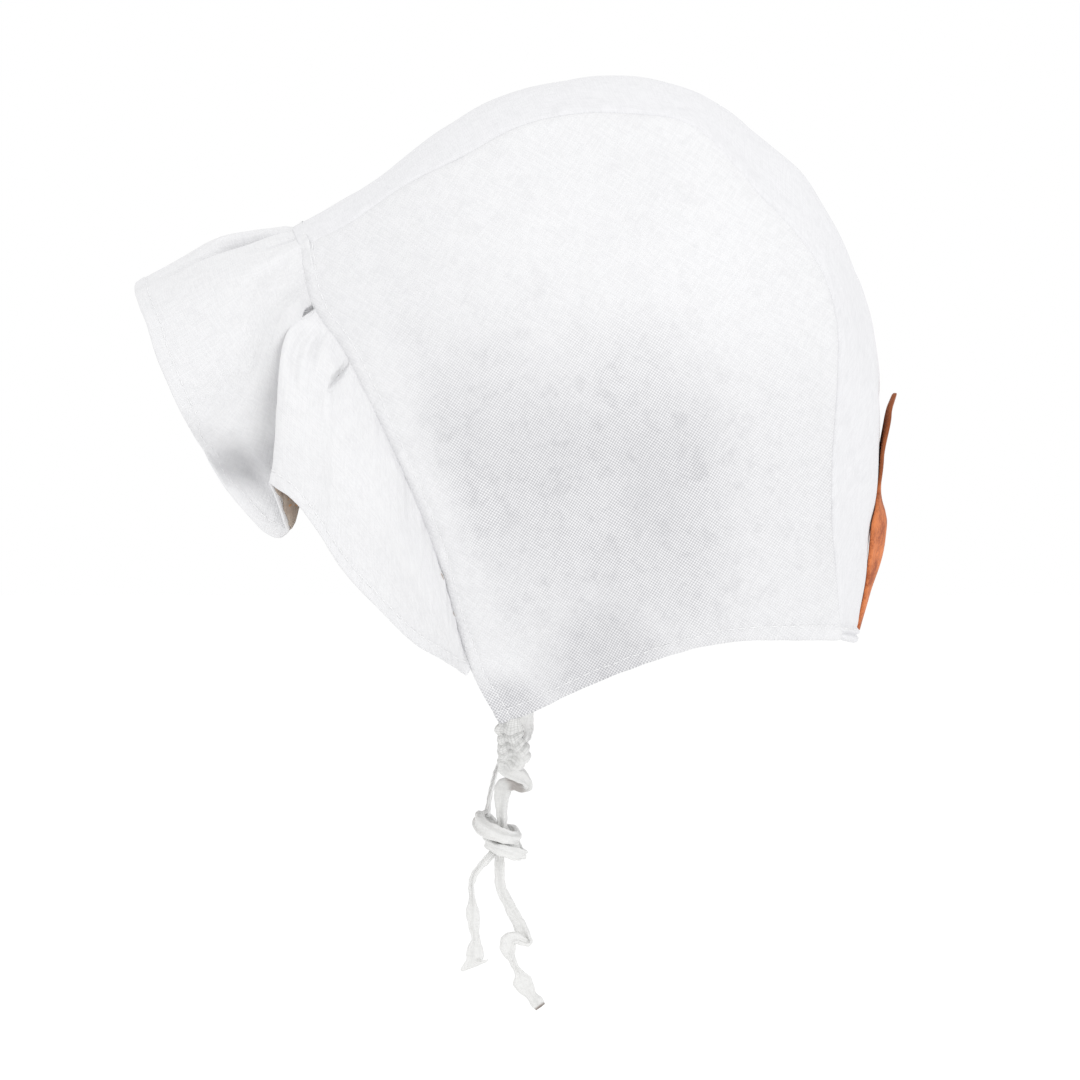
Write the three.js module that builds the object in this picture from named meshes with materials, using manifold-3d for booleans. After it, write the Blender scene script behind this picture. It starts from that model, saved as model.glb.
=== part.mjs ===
// Baby sun bonnet in white linen, as worn: millimetres, +Z up, the face looks along -Y,
// +X is the wearer's left. The origin is the inside of the crown top, where the head touches.
import * as THREE from 'three';
import { mergeVertices } from 'three/addons/utils/BufferGeometryUtils.js';
import Module from 'manifold-3d';

// Driving sizes of the crown
const CROWN_DEPTH = 162;
const CROWN_HEIGHT = 177;
const CROWN_BREADTH = 124;
const GUSSET_BREADTH = 86;
const PANEL_SWELL = 9;
const CROWN_CLOTH = 1.4;
const SEW_GAP = 0.3;

// Driving sizes of the brim
const BRIM_DEPTH = 47;
const BRIM_CLOTH = 1.1;
const LINING_CLOTH = 1.0;
const LAYER_GAP = 0.6;

// Driving sizes of the leather tab
const TAB_LENGTH = 65;
const TAB_WIDTH = 26;
const TAB_LEATHER = 1.6;
const TAB_LIFT = 4.6;

// Driving sizes of the ties
const TIE_WIDTH = 6;
const TIE_THICKNESS = 2.4;
const KNOT_SIZE = 13;
const KNOT_WRAP = 4.4;

// How finely the cloth is cut into flat faces
const GUSSET_STEPS_PER_ROW = 2;
const GUSSET_STEPS_ACROSS = 8;
const BRIM_STEPS_PER_ROW = 3;
const BRIM_STEPS_OUT = 5;
const TAB_STEPS_ALONG = 14;
const TAB_STEPS_ACROSS = 6;
const SECTION_SIDES = 8;

// Crown gusset, front edge to nape. fore and drop are the middle of the band and seamFore and
// seamDrop its seam, as shares of the crown's depth and height; breadth is a share of the
// gusset's breadth.
const GUSSET_ROWS = [
  { fore: -0.577, drop: -0.226, seamFore: -0.546, seamDrop: -0.268, breadth: 0.95 },
  { fore: -0.493, drop: -0.182, seamFore: -0.468, seamDrop: -0.233, breadth: 0.98 },
  { fore: -0.417, drop: -0.136, seamFore: -0.372, seamDrop: -0.174, breadth: 0.99 },
  { fore: -0.323, drop: -0.074, seamFore: -0.274, seamDrop: -0.130, breadth: 1.00 },
  { fore: -0.214, drop: -0.024, seamFore: -0.179, seamDrop: -0.084, breadth: 1.00 },
  { fore: -0.100, drop: 0.003, seamFore: -0.081, seamDrop: -0.064, breadth: 1.00 },
  { fore: 0.007, drop: 0.009, seamFore: 0.022, seamDrop: -0.065, breadth: 1.00 },
  { fore: 0.104, drop: -0.014, seamFore: 0.100, seamDrop: -0.076, breadth: 1.00 },
  { fore: 0.173, drop: -0.053, seamFore: 0.150, seamDrop: -0.108, breadth: 1.00 },
  { fore: 0.240, drop: -0.101, seamFore: 0.197, seamDrop: -0.161, breadth: 1.00 },
  { fore: 0.297, drop: -0.143, seamFore: 0.248, seamDrop: -0.214, breadth: 1.00 },
  { fore: 0.349, drop: -0.214, seamFore: 0.305, seamDrop: -0.268, breadth: 1.00 },
  { fore: 0.387, drop: -0.291, seamFore: 0.342, seamDrop: -0.326, breadth: 0.99 },
  { fore: 0.416, drop: -0.377, seamFore: 0.360, seamDrop: -0.395, breadth: 0.98 },
  { fore: 0.432, drop: -0.476, seamFore: 0.360, seamDrop: -0.485, breadth: 0.95 },
  { fore: 0.427, drop: -0.590, seamFore: 0.352, seamDrop: -0.590, breadth: 0.90 },
  { fore: 0.418, drop: -0.690, seamFore: 0.351, seamDrop: -0.691, breadth: 0.84 },
  { fore: 0.404, drop: -0.785, seamFore: 0.359, seamDrop: -0.780, breadth: 0.78 },
  { fore: 0.384, drop: -0.876, seamFore: 0.367, seamDrop: -0.872, breadth: 0.72 },
];

// The gusset row where the top of a side panel ends and its back begins
const PANEL_TURN_ROW = 10;

// Face edge of a side panel, below the gusset and down to the tie corner. out is a share of
// half the crown's breadth.
const FACE_EDGE_ROWS = [
  { out: 0.74, fore: -0.523, drop: -0.358 },
  { out: 0.81, fore: -0.469, drop: -0.429 },
  { out: 0.85, fore: -0.419, drop: -0.515 },
  { out: 0.87, fore: -0.373, drop: -0.604 },
  { out: 0.85, fore: -0.328, drop: -0.700 },
  { out: 0.81, fore: -0.301, drop: -0.780 },
  { out: 0.74, fore: -0.278, drop: -0.861 },
  { out: 0.67, fore: -0.250, drop: -0.935 },
  { out: 0.58, fore: -0.211, drop: -1.002 },
];

// Neck edge of a side panel, between the tie corner and the nape
const NECK_EDGE_ROWS = [
  { out: 0.60, fore: -0.160, drop: -0.986 },
  { out: 0.65, fore: -0.102, drop: -0.960 },
  { out: 0.69, fore: -0.027, drop: -0.930 },
  { out: 0.74, fore: 0.037, drop: -0.908 },
  { out: 0.76, fore: 0.104, drop: -0.888 },
  { out: 0.76, fore: 0.164, drop: -0.876 },
  { out: 0.74, fore: 0.220, drop: -0.871 },
  { out: 0.66, fore: 0.293, drop: -0.871 },
];

// Soft hollows and swells of a side panel. along runs from the face edge to the back and down
// from the gusset to the neck; rise is a share of the crown's breadth, below zero for a hollow.
const PANEL_DENTS = [
  { along: 0.22, down: 0.62, spread: 0.16, rise: -0.014 },
  { along: 0.42, down: 0.80, spread: 0.14, rise: -0.012 },
  { along: 0.70, down: 0.50, spread: 0.20, rise: 0.010 },
  { along: 0.88, down: 0.30, spread: 0.13, rise: -0.010 },
];

// Brim ribs from the end by the right tie corner, over the forehead, to the left one. seat is
// the place on the face edge as a share of its half length; mid and hem are offsets from the
// seat in shares of the brim's depth. The left side is gathered into one deep fold.
const BRIM_ROWS = [
  { seat: -0.985, mid: [0.00, 0.00, -0.03], hem: [0.00, -0.02, -0.06] },
  { seat: -0.900, mid: [-0.01, 0.02, -0.17], hem: [0.05, 0.03, -0.31] },
  { seat: -0.800, mid: [-0.05, 0.03, -0.34], hem: [0.06, 0.04, -0.60] },
  { seat: -0.700, mid: [-0.13, 0.02, -0.50], hem: [-0.04, 0.02, -0.88] },
  { seat: -0.600, mid: [-0.22, -0.06, -0.58], hem: [-0.22, -0.10, -1.02] },
  { seat: -0.520, mid: [-0.26, -0.16, -0.56], hem: [-0.32, -0.28, -1.02] },
  { seat: -0.460, mid: [-0.16, -0.24, -0.55], hem: [-0.16, -0.42, -1.02] },
  { seat: -0.410, mid: [-0.10, -0.28, -0.54], hem: [-0.08, -0.52, -1.00] },
  { seat: -0.360, mid: [-0.20, -0.34, -0.46], hem: [-0.22, -0.68, -0.86] },
  { seat: -0.310, mid: [-0.22, -0.40, -0.36], hem: [-0.26, -0.78, -0.66] },
  { seat: -0.260, mid: [-0.10, -0.46, -0.22], hem: [-0.13, -0.88, -0.47] },
  { seat: -0.200, mid: [-0.03, -0.49, -0.12], hem: [-0.06, -0.92, -0.40] },
  { seat: -0.100, mid: [0.00, -0.51, -0.05], hem: [-0.01, -0.96, -0.34] },
  { seat: 0.000, mid: [0.00, -0.50, -0.05], hem: [0.00, -0.96, -0.32] },
  { seat: 0.082, mid: [0.00, -0.51, -0.04], hem: [0.00, -0.96, -0.33] },
  { seat: 0.153, mid: [-0.02, -0.49, -0.11], hem: [0.02, -0.95, -0.35] },
  { seat: 0.212, mid: [0.02, -0.49, -0.13], hem: [0.04, -0.92, -0.39] },
  { seat: 0.250, mid: [0.11, -0.45, -0.20], hem: [0.11, -0.89, -0.44] },
  { seat: 0.278, mid: [0.18, -0.43, -0.29], hem: [0.20, -0.84, -0.52] },
  { seat: 0.300, mid: [0.22, -0.37, -0.44], hem: [0.24, -0.73, -0.72] },
  { seat: 0.322, mid: [0.12, -0.29, -0.56], hem: [0.16, -0.58, -0.97] },
  { seat: 0.342, mid: [-0.09, -0.22, -0.62], hem: [-0.02, -0.41, -1.18] },
  { seat: 0.360, mid: [-0.17, -0.14, -0.66], hem: [-0.19, -0.25, -1.32] },
  { seat: 0.378, mid: [0.01, -0.17, -0.54], hem: [0.01, -0.21, -1.12] },
  { seat: 0.398, mid: [0.21, -0.26, -0.44], hem: [0.23, -0.27, -0.89] },
  { seat: 0.420, mid: [0.27, -0.19, -0.46], hem: [0.32, -0.19, -0.92] },
  { seat: 0.450, mid: [0.27, -0.09, -0.55], hem: [0.31, -0.11, -1.03] },
  { seat: 0.500, mid: [0.23, -0.01, -0.64], hem: [0.21, -0.03, -1.13] },
  { seat: 0.570, mid: [0.18, 0.05, -0.62], hem: [0.10, 0.04, -1.10] },
  { seat: 0.661, mid: [0.13, 0.05, -0.55], hem: [-0.02, 0.06, -0.97] },
  { seat: 0.763, mid: [0.05, 0.04, -0.40], hem: [-0.09, 0.05, -0.71] },
  { seat: 0.869, mid: [0.01, 0.03, -0.22], hem: [-0.08, 0.03, -0.40] },
  { seat: 0.985, mid: [0.00, 0.00, -0.03], hem: [0.00, -0.02, -0.06] },
];

// Where the brim ends on the face edge, as a share of a side panel's own face edge
const BRIM_END_ON_PANEL = 0.88;

// Leather tab from its upper tip to the nape: along as a share of its length, half as a share
// of half its width, lift of the middle and edge lift of the rims as shares of the tab's lift.
const TAB_ROWS = [
  { along: 0.00, half: 0.10, lift: 1.00, edge: 0.95 },
  { along: 0.08, half: 0.45, lift: 0.78, edge: 0.55 },
  { along: 0.20, half: 0.72, lift: 0.62, edge: 0.12 },
  { along: 0.32, half: 0.52, lift: 0.42, edge: 0.10 },
  { along: 0.41, half: 0.26, lift: 0.10, edge: 0.05 },
  { along: 0.50, half: 0.72, lift: 0.62, edge: 0.06 },
  { along: 0.58, half: 1.00, lift: 0.92, edge: 0.05 },
  { along: 0.72, half: 0.86, lift: 0.80, edge: 0.04 },
  { along: 0.88, half: 0.48, lift: 0.44, edge: 0.03 },
  { along: 1.00, half: 0.12, lift: 0.06, edge: 0.02 },
];

// How far below the crown top the upper tip of the tab lies, as a share of the crown's height
const TAB_TOP_DROP = 0.49;

// Routes of the four stretches of tie, chosen by hand: two from the corners to the knot and
// two loose ends below it.
const TIE_ROUTES = {
  tie_left: [
    [35.3, -32.6, -177.4], [34.2, -31.4, -180.8], [30.4, -30.8, -184.6], [24.6, -30.4, -187.6],
    [18.4, -30.2, -190.2], [12.4, -29.6, -192.4], [7.8, -29.0, -195.0], [5.0, -30.0, -198.0],
    [4.0, -32.6, -200.8], [3.4, -35.2, -204.3],
  ],
  tie_right: [
    [-35.3, -32.6, -177.4], [-34.2, -31.6, -180.8], [-30.4, -31.6, -184.8], [-24.6, -32.4, -188.4],
    [-18.4, -33.6, -191.6], [-12.4, -35.2, -194.6], [-8.0, -36.8, -197.4], [-5.2, -37.9, -200.2],
    [-3.5, -38.0, -204.6],
  ],
  tie_end_left: [
    [3.6, -37.4, -217.8], [3.4, -40.0, -220.0], [3.0, -42.6, -222.2], [2.4, -44.2, -225.2],
    [1.8, -44.8, -228.6], [1.2, -44.5, -232.2], [0.8, -44.2, -236.2], [0.6, -43.9, -240.4],
    [0.9, -44.1, -244.0], [1.4, -45.8, -247.2], [1.8, -48.2, -249.4],
  ],
  tie_end_right: [
    [-3.6, -36.6, -217.6], [-3.5, -36.8, -222.0], [-3.2, -35.8, -227.0], [-2.8, -33.9, -231.6],
    [-2.4, -32.0, -235.8], [-2.0, -31.7, -239.4], [-1.8, -32.8, -242.8], [-1.6, -32.4, -246.4],
    [-1.4, -30.8, -250.2], [-1.2, -28.6, -253.8], [-1.0, -25.6, -258.0],
  ],
};
const KNOT_MIDDLE = new THREE.Vector3(0, -36.7, -210.9);

const HALF_CROWN = CROWN_BREADTH / 2;
const HALF_GUSSET = GUSSET_BREADTH / 2;
const HALF_GAP = SEW_GAP / 2;

const linen = new THREE.MeshStandardMaterial({ color: 0xf2f2f3, roughness: 0.92, metalness: 0 });
const trimLinen = new THREE.MeshStandardMaterial({ color: 0xf5f5f4, roughness: 0.85, metalness: 0 });
const printedCotton = new THREE.MeshStandardMaterial({ color: 0xa08a7c, roughness: 0.9, metalness: 0 });
const leather = new THREE.MeshStandardMaterial({ color: 0xcf6f35, roughness: 0.7, metalness: 0 });

// A smooth curve through points, with one unit of its parameter for each row
function curveThrough(points) {
  const curve = new THREE.CatmullRomCurve3(points, false, 'centripetal');
  return (row) => curve.getPoint(THREE.MathUtils.clamp(row / (points.length - 1), 0, 1));
}

// The steps from 0 to count, as an array
function steps(count) {
  return Array.from({ length: count + 1 }, (_, step) => step);
}

// A place in the crown, from shares of its depth and height and a distance to the left
function crownPoint(x, fore, drop) {
  return new THREE.Vector3(x, fore * CROWN_DEPTH, drop * CROWN_HEIGHT);
}

// The way from the middle of the head out through a place on the crown. Neighbouring pieces
// share it along a seam, so their cut edges lie parallel.
function outward(point) {
  const upper = -0.4 * CROWN_HEIGHT;
  const lower = -0.85 * CROWN_HEIGHT;
  const middle = new THREE.Vector3(0, -0.06 * CROWN_DEPTH, THREE.MathUtils.clamp(point.z, lower, upper));
  return point.clone().sub(middle).normalize();
}

// Signed volume of an indexed closed mesh, above zero where its faces point out
function signedVolume(positions, indices) {
  const corner = (index) => new THREE.Vector3().fromArray(positions, 3 * index);
  let volume = 0;
  for (let i = 0; i < indices.length; i += 3) {
    const [a, b, c] = [corner(indices[i]), corner(indices[i + 1]), corner(indices[i + 2])];
    volume += a.dot(b.cross(c)) / 6;
  }
  return volume;
}

// One closed wall between two grids of points with the same rows and columns
function closedWall(face, back) {
  const rows = face.length;
  const columns = face[0].length;
  const positions = [face, back].flat(2).flatMap((point) => point.toArray());
  const indices = [];
  const at = (layer, row, column) => (layer * rows + row) * columns + column;
  const quad = (a, b, c, d) => indices.push(a, b, c, a, c, d);
  for (let i = 0; i < rows - 1; i += 1) {
    for (let j = 0; j < columns - 1; j += 1) {
      quad(at(0, i, j), at(0, i, j + 1), at(0, i + 1, j + 1), at(0, i + 1, j));
      quad(at(1, i, j), at(1, i + 1, j), at(1, i + 1, j + 1), at(1, i, j + 1));
    }
    quad(at(0, i, 0), at(0, i + 1, 0), at(1, i + 1, 0), at(1, i, 0));
    quad(at(0, i + 1, columns - 1), at(0, i, columns - 1), at(1, i, columns - 1), at(1, i + 1, columns - 1));
  }
  for (let j = 0; j < columns - 1; j += 1) {
    quad(at(0, 0, j + 1), at(0, 0, j), at(1, 0, j), at(1, 0, j + 1));
    quad(at(0, rows - 1, j), at(0, rows - 1, j + 1), at(1, rows - 1, j + 1), at(1, rows - 1, j));
  }
  if (signedVolume(positions, indices) < 0) {
    indices.reverse();
  }
  const geometry = new THREE.BufferGeometry();
  geometry.setAttribute('position', new THREE.Float32BufferAttribute(positions, 3));
  geometry.setIndex(indices);
  geometry.computeVertexNormals();
  return geometry;
}

// A named mesh
function piece(name, geometry, material) {
  const mesh = new THREE.Mesh(geometry, material);
  mesh.name = name;
  return mesh;
}

// Middle line and left seam of the gusset, one unit of the parameter for each row
const gussetMiddle = curveThrough(GUSSET_ROWS.map((row) => crownPoint(0, row.fore, row.drop)));
const gussetSeam = curveThrough(
  GUSSET_ROWS.map((row) => crownPoint(row.breadth * HALF_GUSSET, row.seamFore, row.seamDrop)),
);

// A place on the gusset: across runs from -1 at the right seam to 1 at the left seam
function gussetPoint(row, across) {
  const seam = gussetSeam(row);
  const middle = gussetMiddle(row);
  const crown = 1 - Math.abs(across) ** 2.2;
  return new THREE.Vector3(
    seam.x * across,
    THREE.MathUtils.lerp(seam.y, middle.y, crown),
    THREE.MathUtils.lerp(seam.z, middle.z, crown),
  );
}

function insideOf(grid, thickness) {
  return grid.map((row) => row.map((point) => point.clone().addScaledVector(outward(point), -thickness)));
}

// The band over the crown, from the forehead to the nape
function crownGusset() {
  const rowSteps = steps((GUSSET_ROWS.length - 1) * GUSSET_STEPS_PER_ROW);
  const face = rowSteps.map((step) => {
    const row = step / GUSSET_STEPS_PER_ROW;
    const reach = 1 - HALF_GAP / gussetSeam(row).x;
    return steps(GUSSET_STEPS_ACROSS).map(
      (across) => gussetPoint(row, reach * ((2 * across) / GUSSET_STEPS_ACROSS - 1)),
    );
  });
  return closedWall(face, insideOf(face, CROWN_CLOTH));
}

// The face edge of the left panel from the gusset to the tie corner
const faceEdge = curveThrough([
  gussetSeam(0),
  ...FACE_EDGE_ROWS.map((row) => crownPoint(row.out * HALF_CROWN, row.fore, row.drop)),
]);

// The neck edge of the left panel from the tie corner to the nape
const neckEdge = curveThrough([
  faceEdge(FACE_EDGE_ROWS.length),
  ...NECK_EDGE_ROWS.map((row) => crownPoint(row.out * HALF_CROWN, row.fore, row.drop)),
  gussetSeam(GUSSET_ROWS.length - 1),
]);

const PANEL_STEPS_ALONG = PANEL_TURN_ROW * GUSSET_STEPS_PER_ROW;
const PANEL_STEPS_DOWN = (GUSSET_ROWS.length - 1 - PANEL_TURN_ROW) * GUSSET_STEPS_PER_ROW;

// A place on the left side panel: a patch stretched between its four edges, bowed outwards
function panelPoint(along, down) {
  const top = gussetSeam(along * PANEL_TURN_ROW);
  const bottom = neckEdge(along * (NECK_EDGE_ROWS.length + 1));
  const front = faceEdge(down * FACE_EDGE_ROWS.length);
  const back = gussetSeam(PANEL_TURN_ROW + down * (GUSSET_ROWS.length - 1 - PANEL_TURN_ROW));
  const corners = [
    [faceEdge(0), (1 - along) * (1 - down)],
    [gussetSeam(PANEL_TURN_ROW), along * (1 - down)],
    [faceEdge(FACE_EDGE_ROWS.length), (1 - along) * down],
    [neckEdge(NECK_EDGE_ROWS.length + 1), along * down],
  ];
  const point = top.multiplyScalar(1 - down).addScaledVector(bottom, down);
  point.addScaledVector(front, 1 - along).addScaledVector(back, along);
  for (const [corner, weight] of corners) {
    point.addScaledVector(corner, -weight);
  }
  const bow = (Math.sin(Math.PI * along) * Math.sin(Math.PI * down)) ** 0.62;
  point.x += PANEL_SWELL * bow;
  for (const dent of PANEL_DENTS) {
    const far = ((along - dent.along) ** 2 + (down - dent.down) ** 2) / dent.spread ** 2;
    point.x += dent.rise * CROWN_BREADTH * Math.exp(-far) * bow;
  }
  return point;
}

// One side panel; side is 1 for the wearer's left and -1 for the right
function sidePanel(side) {
  const face = steps(PANEL_STEPS_ALONG).map((along) => steps(PANEL_STEPS_DOWN).map((down) => {
    const point = panelPoint(along / PANEL_STEPS_ALONG, down / PANEL_STEPS_DOWN);
    return point.setX(side * (point.x + HALF_GAP));
  }));
  return closedWall(face, insideOf(face, CROWN_CLOTH));
}

// The edge that the brim is sewn to, as the corners of the panels' and the gusset's own edges
function browEdge() {
  const panelSteps = Math.round(BRIM_END_ON_PANEL * PANEL_STEPS_DOWN);
  const left = steps(panelSteps).map((down) => panelPoint(0, down / PANEL_STEPS_DOWN));
  const half = GUSSET_STEPS_ACROSS / 2;
  const middle = steps(half - 1).map((across) => gussetPoint(0, across / half));
  const leftHalf = [...middle, ...left];
  const rightHalf = leftHalf.slice(1).map((point) => point.clone().setX(-point.x)).reverse();
  return [...rightHalf, ...leftHalf];
}

// A place on a line of corners, with its direction; seat runs from -1 to 1 by length
function alongEdge(corners, seat) {
  const lengths = corners.slice(1).map((corner, index) => corner.distanceTo(corners[index]));
  const total = lengths.reduce((sum, length) => sum + length, 0);
  let rest = ((seat + 1) / 2) * total;
  let index = 0;
  while (index < lengths.length - 1 && rest > lengths[index]) {
    rest -= lengths[index];
    index += 1;
  }
  const direction = corners[index + 1].clone().sub(corners[index]).normalize();
  return { point: corners[index].clone().addScaledVector(direction, rest), direction };
}

// The smooth lines that the brim's ribs make: their seats, middles and hems
function brimLines() {
  const corners = browEdge();
  const seats = BRIM_ROWS.map((row) => alongEdge(corners, row.seat).point);
  const shifted = (key) => BRIM_ROWS.map(
    (row, index) => new THREE.Vector3().fromArray(row[key]).multiplyScalar(BRIM_DEPTH).add(seats[index]),
  );
  return {
    corners,
    seat: curveThrough(BRIM_ROWS.map((row) => new THREE.Vector3(row.seat, 0, 0))),
    middle: curveThrough(shifted('mid')),
    hem: curveThrough(shifted('hem')),
  };
}

// The outer face of the brim as a grid of points, and the way into its cloth at each
function brimGrid() {
  const lines = brimLines();
  const rowSteps = steps((BRIM_ROWS.length - 1) * BRIM_STEPS_PER_ROW);
  const seatWays = [];
  const face = rowSteps.map((step) => {
    const row = step / BRIM_STEPS_PER_ROW;
    const seat = alongEdge(lines.corners, lines.seat(row).x);
    const out = outward(seat.point);
    const ahead = seat.direction.clone().cross(out).normalize();
    ahead.multiplyScalar(ahead.y < 0 ? SEW_GAP : -SEW_GAP);
    const start = seat.point.clone().add(ahead);
    seatWays.push(out.clone().negate());
    const middle = lines.middle(row);
    const hem = lines.hem(row);
    const control = middle.clone().multiplyScalar(2).addScaledVector(start, -0.5).addScaledVector(hem, -0.5);
    const rib = new THREE.QuadraticBezierCurve3(start, control, hem);
    return steps(BRIM_STEPS_OUT).map((ribStep) => rib.getPoint(ribStep / BRIM_STEPS_OUT));
  });
  const last = face.length - 1;
  const ways = face.map((row, i) => row.map((_, j) => {
    const alongWay = face[Math.min(i + 1, last)][j].clone().sub(face[Math.max(i - 1, 0)][j]);
    const outWay = row[Math.min(j + 1, BRIM_STEPS_OUT)].clone().sub(row[Math.max(j - 1, 0)]);
    return alongWay.cross(outWay).normalize();
  }));
  const middleRow = Math.round(face.length / 2);
  const turn = ways[middleRow][0].dot(seatWays[middleRow]) < 0 ? -1 : 1;
  const inwardWays = ways.map((row, i) => row.map((way, j) => {
    const free = THREE.MathUtils.smoothstep(j / BRIM_STEPS_OUT, 0, 0.48);
    const smooth = way.clone().add(ways[Math.max(i - 1, 0)][j]).add(ways[Math.min(i + 1, last)][j]);
    return seatWays[i].clone().lerp(smooth.normalize().multiplyScalar(turn), free).normalize();
  }));
  return { face, inwardWays };
}

function shiftedGrid({ face, inwardWays }, distance) {
  return face.map((row, i) => row.map((point, j) => point.clone().addScaledVector(inwardWays[i][j], distance)));
}

// The white outer cloth of the brim
function brimOuter(grid) {
  return closedWall(grid.face, shiftedGrid(grid, BRIM_CLOTH));
}

// The printed cloth that faces the brim on its underside
function brimLining(grid) {
  const start = BRIM_CLOTH + LAYER_GAP;
  return closedWall(shiftedGrid(grid, start), shiftedGrid(grid, start + LINING_CLOTH));
}

// The gusset row whose point at this place across lies at this height
function gussetRowAt(across, z) {
  let upper = PANEL_TURN_ROW;
  let lower = GUSSET_ROWS.length - 1;
  for (let turn = 0; turn < 30; turn += 1) {
    const row = (upper + lower) / 2;
    if (gussetPoint(row, across).z > z) {
      upper = row;
    } else {
      lower = row;
    }
  }
  return (upper + lower) / 2;
}

// The leather tab on the back of the gusset: two cupped leaves, pinched where they meet
function leatherTab() {
  const key = (name) => curveThrough(TAB_ROWS.map((row) => new THREE.Vector3(row[name], 0, 0)));
  const [along, half, lift, edge] = ['along', 'half', 'lift', 'edge'].map(key);
  const inner = steps(TAB_STEPS_ALONG).map((step) => {
    const row = (step / TAB_STEPS_ALONG) * (TAB_ROWS.length - 1);
    const z = -TAB_TOP_DROP * CROWN_HEIGHT - along(row).x * TAB_LENGTH;
    return steps(TAB_STEPS_ACROSS).map((column) => {
      const share = (2 * column) / TAB_STEPS_ACROSS - 1;
      const x = (share * half(row).x * TAB_WIDTH) / 2;
      const across = x / HALF_GUSSET;
      const base = gussetPoint(gussetRowAt(across, z), across);
      const rise = THREE.MathUtils.lerp(lift(row).x, edge(row).x, share ** 2) * TAB_LIFT;
      return new THREE.Vector3(x, base.y + SEW_GAP + rise, z);
    });
  });
  const outer = inner.map((row) => row.map((point) => point.clone().setY(point.y + TAB_LEATHER)));
  return closedWall(outer, inner);
}

// A flat tie with rounded edges along a route
function tieStretch(route) {
  const section = new THREE.Shape();
  section.absellipse(0, 0, TIE_WIDTH / 2, TIE_THICKNESS / 2, 0, 2 * Math.PI, false, 0);
  const points = route.map((point) => new THREE.Vector3(...point));
  return new THREE.ExtrudeGeometry(section, {
    steps: 2 * (route.length - 1),
    curveSegments: SECTION_SIDES / 2,
    bevelEnabled: false,
    extrudePath: new THREE.CatmullRomCurve3(points, false, 'centripetal'),
  });
}

const manifoldLibrary = await Module();
manifoldLibrary.setup();

// A closed three.js geometry as a solid that can be joined
function toSolid(geometry) {
  const bare = geometry.clone();
  bare.deleteAttribute('normal');
  bare.deleteAttribute('uv');
  const merged = mergeVertices(bare, 1e-4);
  return new manifoldLibrary.Manifold(new manifoldLibrary.Mesh({
    numProp: 3,
    vertProperties: Float32Array.from(merged.attributes.position.array),
    triVerts: Uint32Array.from(merged.index.array),
  }));
}

// A joined solid as a three.js geometry
function toGeometry(solid) {
  const mesh = solid.getMesh();
  const geometry = new THREE.BufferGeometry();
  geometry.setAttribute('position', new THREE.BufferAttribute(Float32Array.from(mesh.vertProperties), 3));
  geometry.setIndex(new THREE.BufferAttribute(Uint32Array.from(mesh.triVerts), 1));
  geometry.computeVertexNormals();
  return geometry;
}

// The knot of both ties: a packed middle with two slanting wraps
function tieKnot() {
  const core = new THREE.SphereGeometry(0.5, 12, 8);
  core.scale(0.92 * KNOT_SIZE, 0.95 * KNOT_SIZE, 1.0 * KNOT_SIZE);
  let solid = toSolid(core);
  for (const wrap of [{ tilt: 0.62, lean: 0.2, lift: 0.06 }, { tilt: 0.25, lean: -0.5, lift: -0.1 }]) {
    const ring = new THREE.TorusGeometry(0.44 * KNOT_SIZE, KNOT_WRAP / 2, 6, 14);
    ring.rotateX(wrap.tilt);
    ring.rotateY(wrap.lean);
    ring.translate(0, 0, wrap.lift * KNOT_SIZE);
    solid = solid.add(toSolid(ring));
  }
  const geometry = toGeometry(solid);
  geometry.translate(KNOT_MIDDLE.x, KNOT_MIDDLE.y, KNOT_MIDDLE.z);
  return geometry;
}

const bonnet = new THREE.Group();
const brim = brimGrid();
bonnet.add(piece('crown_gusset', crownGusset(), linen));
bonnet.add(piece('side_panel_left', sidePanel(1), linen));
bonnet.add(piece('side_panel_right', sidePanel(-1), linen));
bonnet.add(piece('brim', brimOuter(brim), linen));
bonnet.add(piece('brim_lining', brimLining(brim), printedCotton));
bonnet.add(piece('leather_tab', leatherTab(), leather));
for (const [name, route] of Object.entries(TIE_ROUTES)) {
  bonnet.add(piece(name, tieStretch(route), trimLinen));
}
bonnet.add(piece('tie_knot', tieKnot(), trimLinen));

export default bonnet;
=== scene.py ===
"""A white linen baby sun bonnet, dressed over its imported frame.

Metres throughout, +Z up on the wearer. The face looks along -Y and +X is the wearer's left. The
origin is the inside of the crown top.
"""

import logging
import math
from dataclasses import dataclass
from enum import Enum
from typing import Callable, NamedTuple, Sequence

import bpy
import numpy as np
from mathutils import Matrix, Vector


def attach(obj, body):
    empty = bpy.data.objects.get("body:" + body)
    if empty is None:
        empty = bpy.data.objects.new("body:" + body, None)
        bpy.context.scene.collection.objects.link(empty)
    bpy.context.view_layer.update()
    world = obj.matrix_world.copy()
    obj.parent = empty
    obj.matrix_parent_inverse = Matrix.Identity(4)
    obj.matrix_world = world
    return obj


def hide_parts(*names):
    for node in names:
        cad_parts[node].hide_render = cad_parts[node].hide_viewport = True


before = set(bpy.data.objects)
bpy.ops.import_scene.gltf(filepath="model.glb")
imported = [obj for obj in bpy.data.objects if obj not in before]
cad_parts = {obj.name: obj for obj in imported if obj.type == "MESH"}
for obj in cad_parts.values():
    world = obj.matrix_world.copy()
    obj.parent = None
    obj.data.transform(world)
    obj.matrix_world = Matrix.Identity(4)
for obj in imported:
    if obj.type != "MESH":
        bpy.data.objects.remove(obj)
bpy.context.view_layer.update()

LOG = logging.getLogger("bonnet")
MILLIMETRE = 0.001

Array = np.ndarray


class Slot(Enum):
    """The record's material slots."""

    LINEN = "linen"
    TIE = "tie_linen"
    LINING = "lining"
    LEATHER = "leather"


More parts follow.
